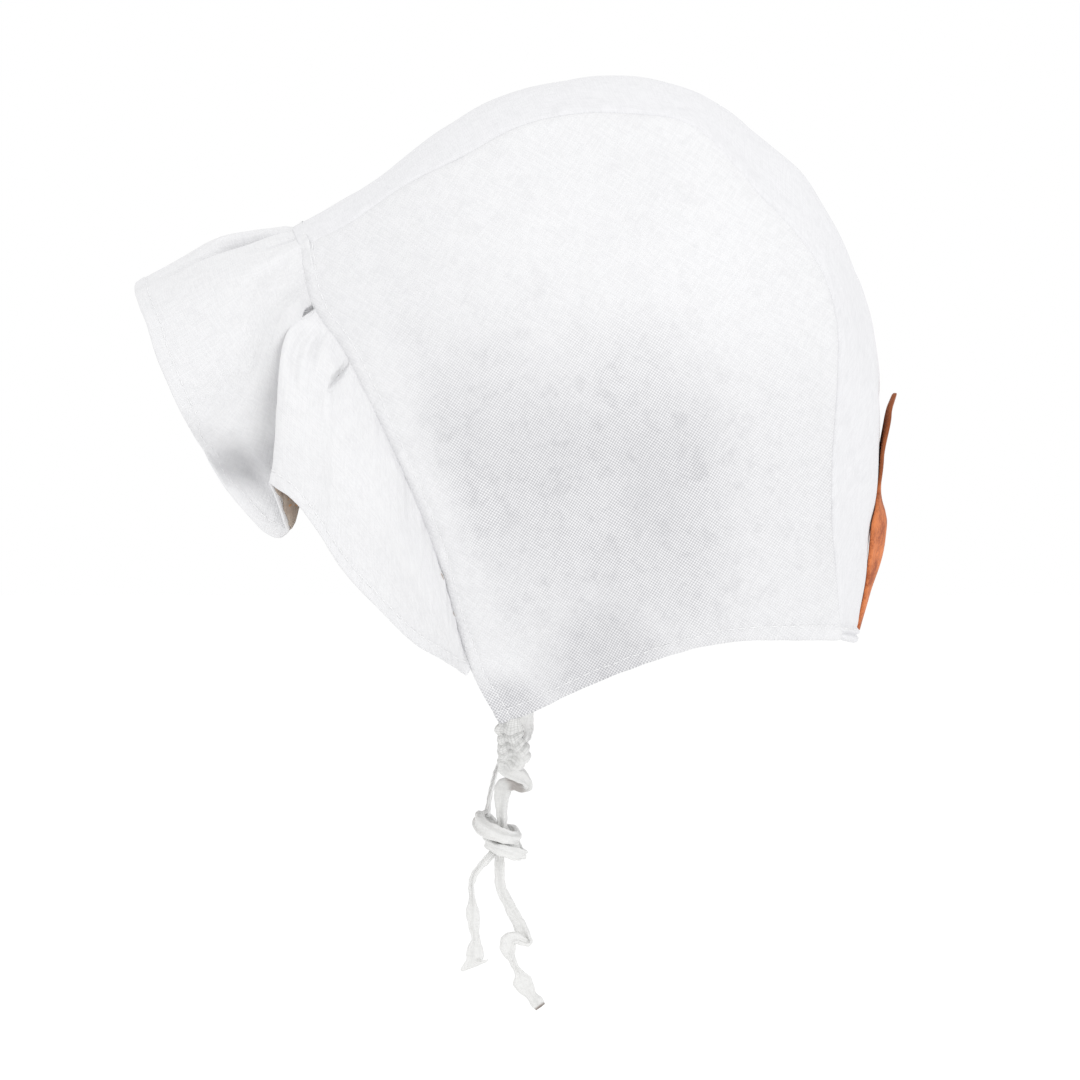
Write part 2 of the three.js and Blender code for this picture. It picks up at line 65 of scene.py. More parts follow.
class Edge(Enum):
    """The four edges of a grid of points, as its axis and the end of that axis."""

    FIRST_ROW = (0, 0)
    LAST_ROW = (0, -1)
    FIRST_COLUMN = (1, 0)
    LAST_COLUMN = (1, -1)


class GussetRow(NamedTuple):
    """One section of the crown gusset, in shares of the crown and gusset sizes."""

    fore: float
    drop: float
    seam_fore: float
    seam_drop: float
    breadth: float


class EdgeRow(NamedTuple):
    """One point of a panel's free edge, in shares of the crown's sizes."""

    out: float
    fore: float
    drop: float


class BrimRow(NamedTuple):
    """One rib of the brim: its seat on the face edge, then points a half, all and a quarter out."""

    seat: float
    mid: tuple[float, float, float]
    hem: tuple[float, float, float]
    near: tuple[float, float, float] | None = None


class Dent(NamedTuple):
    """A soft hollow or swell of a panel, in shares of its extent, with its rise in metres."""

    along: float
    down: float
    spread: float
    rise: float


class Pleat(NamedTuple):
    """A narrow fold of the brim: its seat half way out, width, stretch outward, depth and lean."""

    seat: float
    width: float
    start: float
    stop: float
    depth: float
    lean: float = 0.0


class TieRow(NamedTuple):
    """One section of a tie as measured in the photograph.

    Its middle and half width are in photo pixels, its depth towards the viewer and half
    thickness in millimetres, and its turn about the tie in radians.
    """

    across: float
    down: float
    depth: float
    half_width: float
    half_thickness: float
    turn: float


class TabRow(NamedTuple):
    """One section of the tab: share of its length and width, and its rises in metres."""

    along: float
    half: float
    middle: float
    edge: float


GUSSET_ROWS = (
    GussetRow(-0.577, -0.226, -0.546, -0.268, 0.95),
    GussetRow(-0.493, -0.182, -0.468, -0.233, 0.98),
    GussetRow(-0.417, -0.136, -0.372, -0.174, 0.99),
    GussetRow(-0.323, -0.074, -0.274, -0.130, 1.00),
    GussetRow(-0.214, -0.024, -0.179, -0.084, 1.00),
    GussetRow(-0.100, 0.003, -0.081, -0.064, 1.00),
    GussetRow(0.007, 0.009, 0.022, -0.065, 1.00),
    GussetRow(0.104, -0.014, 0.100, -0.076, 1.00),
    GussetRow(0.173, -0.053, 0.150, -0.108, 1.00),
    GussetRow(0.240, -0.101, 0.197, -0.161, 1.00),
    GussetRow(0.297, -0.143, 0.248, -0.214, 1.00),
    GussetRow(0.349, -0.214, 0.305, -0.268, 1.00),
    GussetRow(0.387, -0.291, 0.342, -0.326, 0.99),
    GussetRow(0.416, -0.377, 0.360, -0.395, 0.98),
    GussetRow(0.432, -0.476, 0.360, -0.485, 0.95),
    GussetRow(0.427, -0.590, 0.352, -0.590, 0.90),
    GussetRow(0.418, -0.690, 0.351, -0.691, 0.84),
    GussetRow(0.404, -0.785, 0.359, -0.780, 0.78),
    GussetRow(0.384, -0.876, 0.367, -0.872, 0.72),
)

FACE_EDGE_ROWS = (
    EdgeRow(0.74, -0.523, -0.358),
    EdgeRow(0.81, -0.469, -0.429),
    EdgeRow(0.85, -0.419, -0.515),
    EdgeRow(0.87, -0.373, -0.604),
    EdgeRow(0.85, -0.328, -0.700),
    EdgeRow(0.81, -0.301, -0.780),
    EdgeRow(0.74, -0.278, -0.861),
    EdgeRow(0.67, -0.250, -0.935),
    EdgeRow(0.58, -0.211, -1.002),
)

NECK_EDGE_ROWS = (
    EdgeRow(0.60, -0.160, -0.986),
    EdgeRow(0.65, -0.102, -0.960),
    EdgeRow(0.69, -0.027, -0.930),
    EdgeRow(0.74, 0.037, -0.908),
    EdgeRow(0.76, 0.104, -0.888),
    EdgeRow(0.76, 0.164, -0.876),
    EdgeRow(0.74, 0.220, -0.871),
    EdgeRow(0.66, 0.293, -0.871),
)

PANEL_DENTS = (
    Dent(0.22, 0.62, 0.16, -0.0017),
    Dent(0.42, 0.80, 0.14, -0.0015),
    Dent(0.70, 0.50, 0.20, 0.0012),
    Dent(0.88, 0.30, 0.13, -0.0012),
)

BRIM_ROWS = (
    BrimRow(-0.985, (0.00, 0.00, -0.03), (0.00, -0.02, -0.06)),
    BrimRow(-0.900, (-0.01, 0.02, -0.17), (0.05, 0.03, -0.31)),
    BrimRow(-0.800, (-0.05, 0.02, -0.32), (0.04, 0.02, -0.57)),
    BrimRow(-0.700, (-0.11, -0.01, -0.44), (-0.04, -0.01, -0.78)),
    BrimRow(-0.600, (-0.15, -0.05, -0.48), (-0.13, -0.08, -0.87)),
    BrimRow(-0.520, (-0.18, -0.13, -0.46), (-0.20, -0.23, -0.87)),
    BrimRow(-0.460, (-0.13, -0.22, -0.44), (-0.09, -0.36, -0.85)),
    BrimRow(-0.410, (-0.09, -0.27, -0.44), (-0.07, -0.45, -0.81)),
    BrimRow(-0.360, (-0.16, -0.32, -0.38), (-0.18, -0.61, -0.70)),
    BrimRow(-0.310, (-0.17, -0.38, -0.31), (-0.21, -0.72, -0.55)),
    BrimRow(-0.260, (-0.08, -0.44, -0.22), (-0.10, -0.83, -0.43)),
    BrimRow(-0.200, (-0.02, -0.48, -0.15), (-0.05, -0.90, -0.39)),
    BrimRow(-0.100, (0.00, -0.50, -0.09), (-0.01, -0.93, -0.35)),
    BrimRow(0.000, (0.00, -0.50, -0.09), (0.00, -0.95, -0.33)),
    BrimRow(0.082, (0.00, -0.50, -0.09), (0.00, -0.94, -0.34)),
    BrimRow(0.153, (-0.02, -0.48, -0.13), (0.02, -0.93, -0.36)),
    BrimRow(0.212, (0.02, -0.48, -0.17), (0.04, -0.91, -0.40)),
    BrimRow(0.250, (0.09, -0.45, -0.22), (0.08, -0.88, -0.45)),
    BrimRow(0.278, (0.17, -0.42, -0.28), (0.18, -0.83, -0.53), (0.11, -0.21, -0.10)),
    BrimRow(0.298, (0.20, -0.365, -0.41), (0.23, -0.72, -0.73), (0.14, -0.21, -0.13)),
    BrimRow(0.314, (0.16, -0.31, -0.54), (0.17, -0.60, -0.94), (0.12, -0.175, -0.15)),
    BrimRow(0.324, (0.135, -0.26, -0.63), (0.15, -0.48, -1.105), (0.135, -0.135, -0.145)),
    BrimRow(0.332, (0.105, -0.205, -0.71), (0.15, -0.36, -1.24), (0.125, -0.095, -0.145)),
    BrimRow(0.339, (0.085, -0.13, -0.765), (0.165, -0.24, -1.345), (0.10, -0.065, -0.155)),
    BrimRow(0.344, (0.085, -0.07, -0.78), (0.17, -0.17, -1.35), (0.07, -0.04, -0.165)),
    BrimRow(0.3475, (0.115, -0.03, -0.74), (0.175, -0.14, -1.31), (0.07, -0.03, -0.175)),
    BrimRow(0.3495, (0.145, -0.055, -0.695), (0.19, -0.16, -1.24), (0.085, -0.055, -0.175)),
    BrimRow(0.3515, (0.19, -0.12, -0.615), (0.22, -0.19, -1.125), (0.105, -0.10, -0.155)),
    BrimRow(0.355, (0.24, -0.19, -0.52), (0.25, -0.23, -1.01), (0.13, -0.15, -0.15)),
    BrimRow(0.363, (0.26, -0.18, -0.525), (0.28, -0.205, -1.01), (0.15, -0.145, -0.16)),
    BrimRow(0.377, (0.265, -0.135, -0.53), (0.30, -0.17, -1.01), (0.16, -0.10, -0.185)),
    BrimRow(0.398, (0.255, -0.105, -0.56), (0.31, -0.135, -1.03), (0.14, -0.06, -0.18)),
    BrimRow(0.425, (0.25, -0.085, -0.585), (0.305, -0.11, -1.06), (0.135, -0.04, -0.21)),
    BrimRow(0.458, (0.26, -0.07, -0.605), (0.29, -0.09, -1.08)),
    BrimRow(0.500, (0.23, -0.01, -0.64), (0.21, -0.05, -1.115)),
    BrimRow(0.570, (0.18, 0.045, -0.615), (0.10, 0.03, -1.10)),
    BrimRow(0.661, (0.13, 0.05, -0.55), (-0.02, 0.06, -0.97)),
    BrimRow(0.763, (0.05, 0.04, -0.40), (-0.09, 0.05, -0.71)),
    BrimRow(0.869, (0.01, 0.03, -0.22), (-0.08, 0.03, -0.40)),
    BrimRow(0.985, (0.00, 0.00, -0.03), (0.00, -0.02, -0.06)),
)

BRIM_PLEATS = (
    Pleat(0.135, 0.011, 0.00, 0.34, -0.0026),
    Pleat(0.135, 0.010, 0.08, 0.50, -0.0062),
    Pleat(0.135, 0.012, 0.16, 0.66, -0.0018),
    Pleat(0.135, 0.014, 0.22, 0.85, -0.0008),
    Pleat(0.108, 0.012, 0.06, 0.55, 0.0012),
    Pleat(0.197, 0.007, 0.00, 0.22, -0.0028),
    Pleat(0.262, 0.012, 0.04, 0.40, -0.0014),
    Pleat(0.3430, 0.0020, 0.00, 0.22, -0.0024),
    Pleat(0.3465, 0.0060, 0.50, 1.10, -0.0078, -0.060),
    Pleat(0.3465, 0.0075, 0.72, 1.25, -0.0044, -0.060),
    Pleat(0.3720, 0.006, 0.08, 0.46, -0.0019),
    Pleat(0.391, 0.006, 0.03, 0.36, -0.0015),
    Pleat(0.405, 0.0028, 0.00, 0.34, -0.0020, -0.10),
    Pleat(0.425, 0.012, 0.10, 0.46, 0.0010),
    Pleat(-0.120, 0.012, 0.04, 0.36, -0.0018),
    Pleat(-0.235, 0.012, 0.04, 0.40, -0.0018),
    Pleat(-0.300, 0.010, 0.02, 0.30, -0.0014),
    Pleat(-0.395, 0.012, 0.00, 0.40, -0.0024),
    Pleat(-0.470, 0.010, 0.02, 0.30, -0.0016),
)

STRAPS = {
    "tie_left": (
        TieRow(511, 716, 35, 9, 1, 0),
        TieRow(510, 723, 34.4, 10.5, 1.6, 0.1),
        TieRow(509.5, 731, 33.4, 11.5, 2, 0.2),
        TieRow(511, 738, 32.2, 10.5, 2.1, 0.2),
        TieRow(512, 744, 30.8, 11, 2.1, 0.2),
        TieRow(514, 750, 29.2, 13.5, 2.1, 0.2),
        TieRow(514, 755.5, 27.2, 13, 1.9, 0.1),
        TieRow(509.5, 761.5, 24.8, 9.8, 1.3, 0),
        TieRow(508.5, 767, 22.2, 10.5, 0.9, -0.1),
        TieRow(514, 771.5, 20, 8.8, 0.8, -0.3),
        TieRow(521, 776, 18, 7.4, 0.8, -0.4),
        TieRow(527.5, 782, 16, 5.4, 0.8, -0.5),
        TieRow(528, 787, 14, 4.4, 0.8, -0.7),
        TieRow(520.5, 787, 12.4, 5.4, 0.8, -0.8),
        TieRow(511.5, 784, 11, 7.4, 0.8, -0.5),
        TieRow(504.5, 786.5, 9.6, 8.4, 0.8, -0.2),
        TieRow(502.5, 793, 8.2, 8.2, 0.8, 0),
        TieRow(501.6, 801, 6.8, 7, 0.8, 0.1),
        TieRow(501.6, 810, 5.4, 5.6, 0.9, 0.1),
        TieRow(502, 818, 4, 5, 1, 0.1),
        TieRow(502.5, 828, 2.6, 4.5, 1, 0.1),
    ),
    "tie_right": (
        TieRow(524.6, 706, -35, 8.8, 0.6, 0),
        TieRow(524.8, 715, -35.2, 8.8, 0.6, 0),
        TieRow(525, 725, -35.2, 8.7, 0.6, 0),
        TieRow(524.6, 733, -34.4, 8.4, 0.7, 0),
        TieRow(521.5, 740, -31.6, 7.6, 0.9, 0.1),
        TieRow(516, 746, -27.5, 6.4, 1, 0.2),
        TieRow(509.5, 752, -23, 5, 1, 0.2),
        TieRow(502.8, 760, -17.5, 3.6, 1, 0.1),
        TieRow(496.8, 770, -12.5, 2.8, 0.8, 0),
        TieRow(492.8, 783, -8.5, 2.4, 0.7, 0),
        TieRow(489.8, 796, -5.5, 2.4, 0.7, 0),
        TieRow(488.2, 806, -3.6, 2.5, 0.7, 0),
        TieRow(487, 817, -1.8, 3.2, 0.8, 0),
    ),
    "tie_end_left": (
        TieRow(498, 844, 0.5, 5, 0.9, 0),
        TieRow(493, 853, 2.2, 4.4, 0.8, 0),
        TieRow(484.5, 862, 3, 3.8, 0.7, 0.1),
        TieRow(476, 871.5, 3.2, 3.4, 0.7, 0.1),
        TieRow(471.8, 882, 3, 3.2, 0.7, 0.1),
        TieRow(471.6, 894, 2.6, 3, 0.7, 0.1),
        TieRow(472.4, 904, 2.4, 4.6, 0.9, 0.1),
        TieRow(472.5, 915, 2.2, 7, 1, 0),
        TieRow(473.6, 926, 2, 5.8, 0.9, 0),
        TieRow(475.6, 936, 1.8, 4.1, 0.8, 0),
        TieRow(475.6, 944, 1.6, 5.8, 0.9, 0),
        TieRow(475, 952, 1.6, 9, 1, 0),
        TieRow(474.4, 957.2, 1.7, 8.8, 0.9, 0),
        TieRow(473, 960.2, 1.8, 6.6, 0.7, 0),
        TieRow(473.4, 962.6, 2, 10, 0.6, 0),
        TieRow(474.3, 965, 2.2, 14.6, 0.6, 0),
        TieRow(475, 966.8, 2.3, 13, 0.6, 0),
    ),
    "tie_end_right": (
        TieRow(500, 848, -2.5, 5, 0.9, 0),
        TieRow(499.3, 862, -3, 5, 0.8, 0),
        TieRow(499.5, 876, -3.2, 5.2, 0.7, 0),
        TieRow(501.5, 889, -3.2, 5.4, 0.7, 0),
        TieRow(507.5, 902, -2.8, 5.7, 0.6, 0),
        TieRow(513.6, 914, -2.4, 6, 0.6, 0),
        TieRow(519, 925, -2, 6.6, 0.6, 0),
        TieRow(524.5, 935, -1.6, 6.2, 0.6, 0.1),
        TieRow(529, 942, -0.9, 4, 0.6, 0.4),
        TieRow(525.5, 942.5, 0, 4.4, 0.6, 0.5),
        TieRow(517, 938.5, 0.6, 6, 0.6, 0.2),
        TieRow(509.5, 939.5, 0.9, 7.6, 0.6, 0),
        TieRow(507.8, 946, 0.9, 8.4, 0.6, 0),
        TieRow(509, 953, 0.9, 6.8, 0.6, 0),
        TieRow(512, 959.5, 0.7, 3.8, 0.6, 0),
        TieRow(515.5, 967, 0.5, 3.4, 0.6, 0),
        TieRow(519.6, 974.5, 0.2, 5.6, 0.5, 0),
        TieRow(522.4, 981.5, 0, 10, 0.5, 0),
        TieRow(526.4, 988.5, 0, 8.4, 0.6, 0),
        TieRow(531.6, 995.5, 0, 5.6, 0.7, 0),
        TieRow(536.6, 1001.5, 0.2, 6.8, 0.9, 0),
        TieRow(540.6, 1007, 0.4, 5.6, 0.8, 0),
    ),
    "tie_knot": (
        TieRow(499, 846, -1.5, 5.5, 0.9, 0),
        TieRow(488.5, 841, 0.6, 6.5, 0.9, 0),
        TieRow(488, 843, 3.4, 6.2, 0.9, 0),
        TieRow(495, 848, 5.2, 6.2, 0.8, 0),
        TieRow(504, 851.2, 5.9, 6.5, 0.8, 0),
        TieRow(514, 853.5, 5, 6.8, 0.8, 0),
        TieRow(521.5, 855, 2.4, 6.6, 0.9, 0),
        TieRow(522.5, 855, -0.6, 5.6, 0.9, 0),
        TieRow(515, 849, -3.6, 5.5, 0.9, 0),
        TieRow(503, 838, -5, 6, 0.9, 0),
        TieRow(491, 823, -4.2, 6.5, 0.9, 0),
        TieRow(482.5, 815, -2, 6.6, 0.9, 0),
        TieRow(478.5, 817.5, 1.2, 7.2, 1, 0),
        TieRow(480.5, 825, 4.2, 8.4, 1, 0),
        TieRow(489.5, 831, 6.2, 8.6, 0.9, 0),
        TieRow(500.5, 835, 6.8, 7.6, 0.8, 0),
        TieRow(510.5, 837.5, 5.6, 6.8, 0.8, 0),
        TieRow(516, 838.5, 2.8, 7.6, 0.9, 0),
        TieRow(516.5, 835, -0.6, 7, 0.9, 0),
        TieRow(513, 830, -2.8, 6.4, 0.9, 0),
        TieRow(506, 828, -3.6, 5.5, 0.9, 0),
    ),
}

KNOT_CORE = (
    TieRow(484, 821, 0.0, 3.0, 1.0, 0.0),
    TieRow(490, 827, 0.2, 8.0, 2.6, 0.0),
    TieRow(499, 835, 0.4, 11.0, 3.6, 0.0),
    TieRow(508, 842, 0.4, 11.0, 3.6, 0.0),
    TieRow(516, 848, 0.2, 7.5, 2.6, 0.0),
    TieRow(521, 852, 0.0, 3.0, 1.0, 0.0),
)

TAB_ROWS = (
    TabRow(0.000, 0.10, 0.0027, 0.0029),
    TabRow(0.026, 0.30, 0.0019, 0.0024),
    TabRow(0.065, 0.52, 0.0009, 0.0020),
    TabRow(0.130, 0.72, 0.0003, 0.0017),
    TabRow(0.210, 0.74, 0.0001, 0.0011),
    TabRow(0.300, 0.50, 0.0001, 0.0004),
    TabRow(0.395, 0.22, 0.0000, 0.0000),
    TabRow(0.447, 0.46, 0.0006, 0.0001),
    TabRow(0.500, 0.80, 0.0019, 0.0003),
    TabRow(0.557, 1.00, 0.0028, 0.0003),
    TabRow(0.617, 0.98, 0.0029, 0.0003),
    TabRow(0.723, 0.78, 0.0022, 0.0002),
    TabRow(0.830, 0.55, 0.0012, 0.0001),
    TabRow(0.923, 0.32, 0.0005, 0.0001),
    TabRow(1.000, 0.08, 0.0001, 0.0000),
)


# Plain geometry of curves and grids


def spline(points: Array, rows: Array) -> Array:
    """A centripetal curve through points, one unit of its parameter for each row.

    Args:
        points: The rows of the table, as an array of count by dimensions.
        rows: Where to read the curve, from 0 to the last row's number.

    Returns:
        One point for each entry of rows.
    """
    points = np.asarray(points, float)
    rows = np.clip(np.asarray(rows, float), 0.0, len(points) - 1.0)
    padded = np.vstack([2 * points[0] - points[1], points, 2 * points[-1] - points[-2]])
    start = np.minimum(rows.astype(int), len(points) - 2)
    weight = (rows - start)[:, None]
    before, first, second, after = (padded[start + step] for step in range(4))

    def gap(a: Array, b: Array) -> Array:
        """The square root of the distance between two rows of points."""
        return np.maximum(np.sqrt(np.linalg.norm(b - a, axis=1)), 1e-6)[:, None]

    gap_0, gap_1, gap_2 = gap(before, first), gap(first, second), gap(second, after)
    slope_1 = (first - before) / gap_0 - (second - before) / (gap_0 + gap_1) + (second - first) / gap_1
    slope_2 = (second - first) / gap_1 - (after - first) / (gap_1 + gap_2) + (after - second) / gap_2
    slope_1, slope_2 = slope_1 * gap_1, slope_2 * gap_1
    square = 3 * (second - first) - 2 * slope_1 - slope_2
    cube = 2 * (first - second) + slope_1 + slope_2
    return first + weight * (slope_1 + weight * (square + weight * cube))


def smooth(value: Array | float, low: float, high: float) -> Array:
    """A smooth step from 0 at low to 1 at high."""
    share = np.clip((np.asarray(value, float) - low) / (high - low), 0.0, 1.0)
    return share * share * (3 - 2 * share)


def bell(value: Array, middle: Array | float, width: float) -> Array:
    """A bell curve of height 1 round a middle."""
    return np.exp(-(((np.asarray(value) - middle) / width) ** 2))


def unit(vectors: Array) -> Array:
    """The vectors at length 1."""
    return vectors / np.maximum(np.linalg.norm(vectors, axis=-1, keepdims=True), 1e-12)


def grid_normals(points: Array) -> Array:
    """The unit normals of a grid of points, from its rows and columns."""
    return unit(np.cross(np.gradient(points, axis=0), np.gradient(points, axis=1)))


def reach_from(points: Array, edge: Edge) -> Array:
    """How far each point of a grid lies from one edge, along its own row or column.

    Args:
        points: The grid, rows by columns of points.
        edge: The edge of the grid that the distances start from.

    Returns:
        One distance in metres for each point.
    """
    axis, end = edge.value
    lengths = np.linalg.norm(np.diff(points, axis=axis), axis=2)
    zeros = np.zeros_like(np.take(lengths, [0], axis=axis))
    travelled = np.cumsum(np.concatenate([zeros, lengths], axis=axis), axis=axis)
    if end == 0:
        return travelled
    return np.take(travelled, [-1], axis=axis) - travelled


def between_columns(grid: Array, places: Array) -> Array:
    """A grid read between its columns, at other places in each row.

    Args:
        grid: The grid, rows by columns of values.
        places: Column numbers with fractions, a row of them for each row of the grid.

    Returns:
        The values at those places, row by row.
    """
    first = np.minimum(places.astype(int), grid.shape[1] - 2)
    share = (places - first)[..., None]
    rows = np.arange(len(grid))[:, None]
    return grid[rows, first] * (1 - share) + grid[rows, first + 1] * share


def travelled(line: Array) -> Array:
    """The length of a line up to each of its points."""
    return np.concatenate([[0.0], np.cumsum(np.linalg.norm(np.diff(line, axis=0), axis=1))])


def read_line(line: Array, lengths: Array, at: Array) -> Array:
    """The rows of a line at given lengths along it."""
    return np.stack([np.interp(at, lengths, line[:, part]) for part in range(line.shape[1])], axis=1)


def turned_like(normals: Array, ways: Array) -> Array:
    """The normals, each turned to the side that its way points to."""
    return normals * np.sign(np.sum(normals * ways, axis=-1, keepdims=True))


class Drift:
    """A smooth wandering field, the same on each run."""

    def __init__(self, seed: int, shortest: float, longest: float, waves: int = 9) -> None:
        """Draw the waves.

        Args:
            seed: The seed of the draw.
            shortest: The shortest wavelength in metres.
            longest: The longest wavelength in metres.
            waves: How many waves are added up.
        """
        draw = np.random.default_rng(seed)
        ways = unit(draw.normal(size=(waves, 3)))
        self.waves = ways * (2 * math.pi / draw.uniform(shortest, longest, size=(waves, 1)))
        self.phases = draw.uniform(0, 2 * math.pi, size=waves)

    def at(self, points: Array) -> Array:
        """The field at points, about -1 to 1."""
        return np.sin(points @ self.waves.T + self.phases).sum(axis=-1) / math.sqrt(len(self.phases))

    def along(self, distance: Array) -> Array:
        """The field along a line, for distances in metres."""
        return self.at(np.asarray(distance)[..., None] * np.array([0.7, 0.55, 0.46]))


# Meshes


def deselect() -> None:
    """Deselect all objects, because an operator acts on all that is selected."""
    bpy.ops.object.select_all(action="DESELECT")


def select(thing: bpy.types.Object) -> None:
    """Select one object alone and make it active."""
    deselect()
    thing.select_set(True)
    bpy.context.view_layer.objects.active = thing


def cover(mesh: bpy.types.Mesh, values: Array, name: str = "Weave") -> None:
    """Write one pair of texture coordinates for each vertex as a UV map.

    Args:
        mesh: The mesh.
        values: An array of vertices by two.
        name: The name of the map.
    """
    layer = mesh.uv_layers.get(name) or mesh.uv_layers.new(name=name)
    corners = np.empty(len(mesh.loops), int)
    mesh.loops.foreach_get("vertex_index", corners)
    layer.data.foreach_set("uv", values[corners].astype(np.float32).ravel())


def make_piece(name: str, points: Array, faces: Array | list, chart: Array) -> bpy.types.Object:
    """A smooth-shaded object from points, faces and texture coordinates.

    Args:
        name: The object's name.
        points: Its points in metres.
        faces: The numbers of each face's points.
        chart: One pair of texture coordinates for each point.

    Returns:
        The object.
    """
    mesh = bpy.data.meshes.new(name)
    mesh.from_pydata(points.tolist(), [], [list(map(int, face)) for face in faces])
    cover(mesh, chart)
    thing = bpy.data.objects.new(name, mesh)
    bpy.context.collection.objects.link(thing)
    select(thing)
    bpy.ops.object.shade_smooth()
    return thing


def rim_of(rows: int, columns: int) -> Array:
    """The numbers of a grid's outer points, once round."""
    numbers = np.arange(rows * columns).reshape(rows, columns)
    return np.concatenate([numbers[0, :-1], numbers[:-1, -1], numbers[-1, :0:-1], numbers[:0:-1, 0]])


def sewn_wall(name: str, face: Array, back: Array, chart: Array, rounds: int = 3) -> bpy.types.Object:
    """A closed wall between two grids, with a rounded edge all the way round.

    Args:
        name: The name of the piece.
        face: The outer grid, rows by columns by three.
        back: The inner grid of the same shape.
        chart: The texture coordinates of the grid, rows by columns by two.
        rounds: How many points round the edge between face and back.

    Returns:
        The new object, with its faces pointing out.
    """
    rows, columns = face.shape[:2]
    count = rows * columns
    numbers = np.arange(count).reshape(rows, columns)
    quads = np.stack([numbers[:-1, :-1], numbers[:-1, 1:], numbers[1:, 1:], numbers[1:, :-1]], axis=-1)
    quads = quads.reshape(-1, 4)
    rim = rim_of(rows, columns)
    front, rear = face.reshape(-1, 3), back.reshape(-1, 3)
    inside = np.zeros((rows, columns, 3))
    inside[0] += face[1] - face[0]
    inside[-1] += face[-2] - face[-1]
    inside[:, 0] += unit(face[:, 1] - face[:, 0]) * MILLIMETRE
    inside[:, -1] += unit(face[:, -2] - face[:, -1]) * MILLIMETRE
    inside[0] = np.where(np.linalg.norm(inside[0], axis=1, keepdims=True) > 0, inside[0], 1.0)
    outwards = -unit(inside.reshape(-1, 3)[rim])
    middle = (front[rim] + rear[rim]) / 2
    half = (front[rim] - rear[rim]) / 2
    reach = np.linalg.norm(half, axis=1, keepdims=True)
    points, charts = [front, rear], [chart.reshape(-1, 2)] * 2
    rings = [rim]
    for step in range(1, rounds + 1):
        angle = math.pi * step / (rounds + 1)
        points.append(middle + half * math.cos(angle) + outwards * reach * math.sin(angle))
        charts.append(chart.reshape(-1, 2)[rim])
        rings.append(2 * count + (step - 1) * len(rim) + np.arange(len(rim)))
    rings.append(rim + count)
    faces = [quads, quads[:, ::-1] + count]
    for upper, lower in zip(rings, rings[1:]):
        faces.append(np.stack([np.roll(upper, -1), upper, lower, np.roll(lower, -1)], axis=-1))
    thing = make_piece(name, np.vstack(points), np.vstack(faces), np.vstack(charts))
    face_out(thing)
    return thing


def face_out(thing: bpy.types.Object) -> None:
    """Turn the faces of a closed piece so that they point out."""
    if closed_volume(thing.data) < 0:
        thing.data.flip_normals()


def closed_volume(mesh: bpy.types.Mesh) -> float:
    """The signed volume of a closed mesh, above zero where its faces point out.

    Args:
        mesh: A mesh without open edges.

    Returns:
        The volume in cubic metres.
    """
    mesh.calc_loop_triangles()
    corners = np.empty(3 * len(mesh.loop_triangles), int)
    mesh.loop_triangles.foreach_get("vertices", corners)
    places = np.empty(3 * len(mesh.vertices))
    mesh.vertices.foreach_get("co", places)
    a, b, c = places.reshape(-1, 3)[corners.reshape(-1, 3)].transpose(1, 0, 2)
    return float(np.einsum("ij,ij->i", a, np.cross(b, c)).sum() / 6)


# Shader maths


class Signal:
    """A number that varies over a surface. Sums of it add Math nodes."""

    def __init__(self, graph: "Graph", socket: bpy.types.NodeSocket) -> None:
        """Wrap a socket of a graph."""
        self.graph = graph
        self.socket = socket

    def math(self, operation: str, *values: "Signal | float") -> "Signal":
        """One Math node on this number and further values."""
        inputs = dict(enumerate((self, *values)))
        return self.graph.node("Math", {"operation": operation}, inputs)

    def __add__(self, other: "Signal | float") -> "Signal":
        """The sum."""
        return self.math("ADD", other)

    __radd__ = __add__

    def __mul__(self, other: "Signal | float") -> "Signal":
        """The product."""
        return self.math("MULTIPLY", other)

    __rmul__ = __mul__

    def __sub__(self, other: "Signal | float") -> "Signal":
        """The difference."""
        return self.math("SUBTRACT", other)

    def __rsub__(self, other: float) -> "Signal":
        """The difference from a number."""
        return self.math("MULTIPLY", -1.0) + other

    def __truediv__(self, other: "Signal | float") -> "Signal":
        """The quotient."""
        return self.math("DIVIDE", other)

    def __pow__(self, other: float) -> "Signal":
        """The power."""
        return self.math("POWER", other)

    def __abs__(self) -> "Signal":
        """The size without its sign."""
        return self.math("ABSOLUTE")

    def sine(self) -> "Signal":
        """The sine of the number in radians."""
        return self.math("SINE")

    def step(self, low: float, high: float) -> "Signal":
        """A smooth step from 0 at low to 1 at high."""
        inputs = {"Value": self, "From Min": low, "From Max": high}
        return self.graph.node("MapRange", {"interpolation_type": "SMOOTHSTEP"}, inputs)


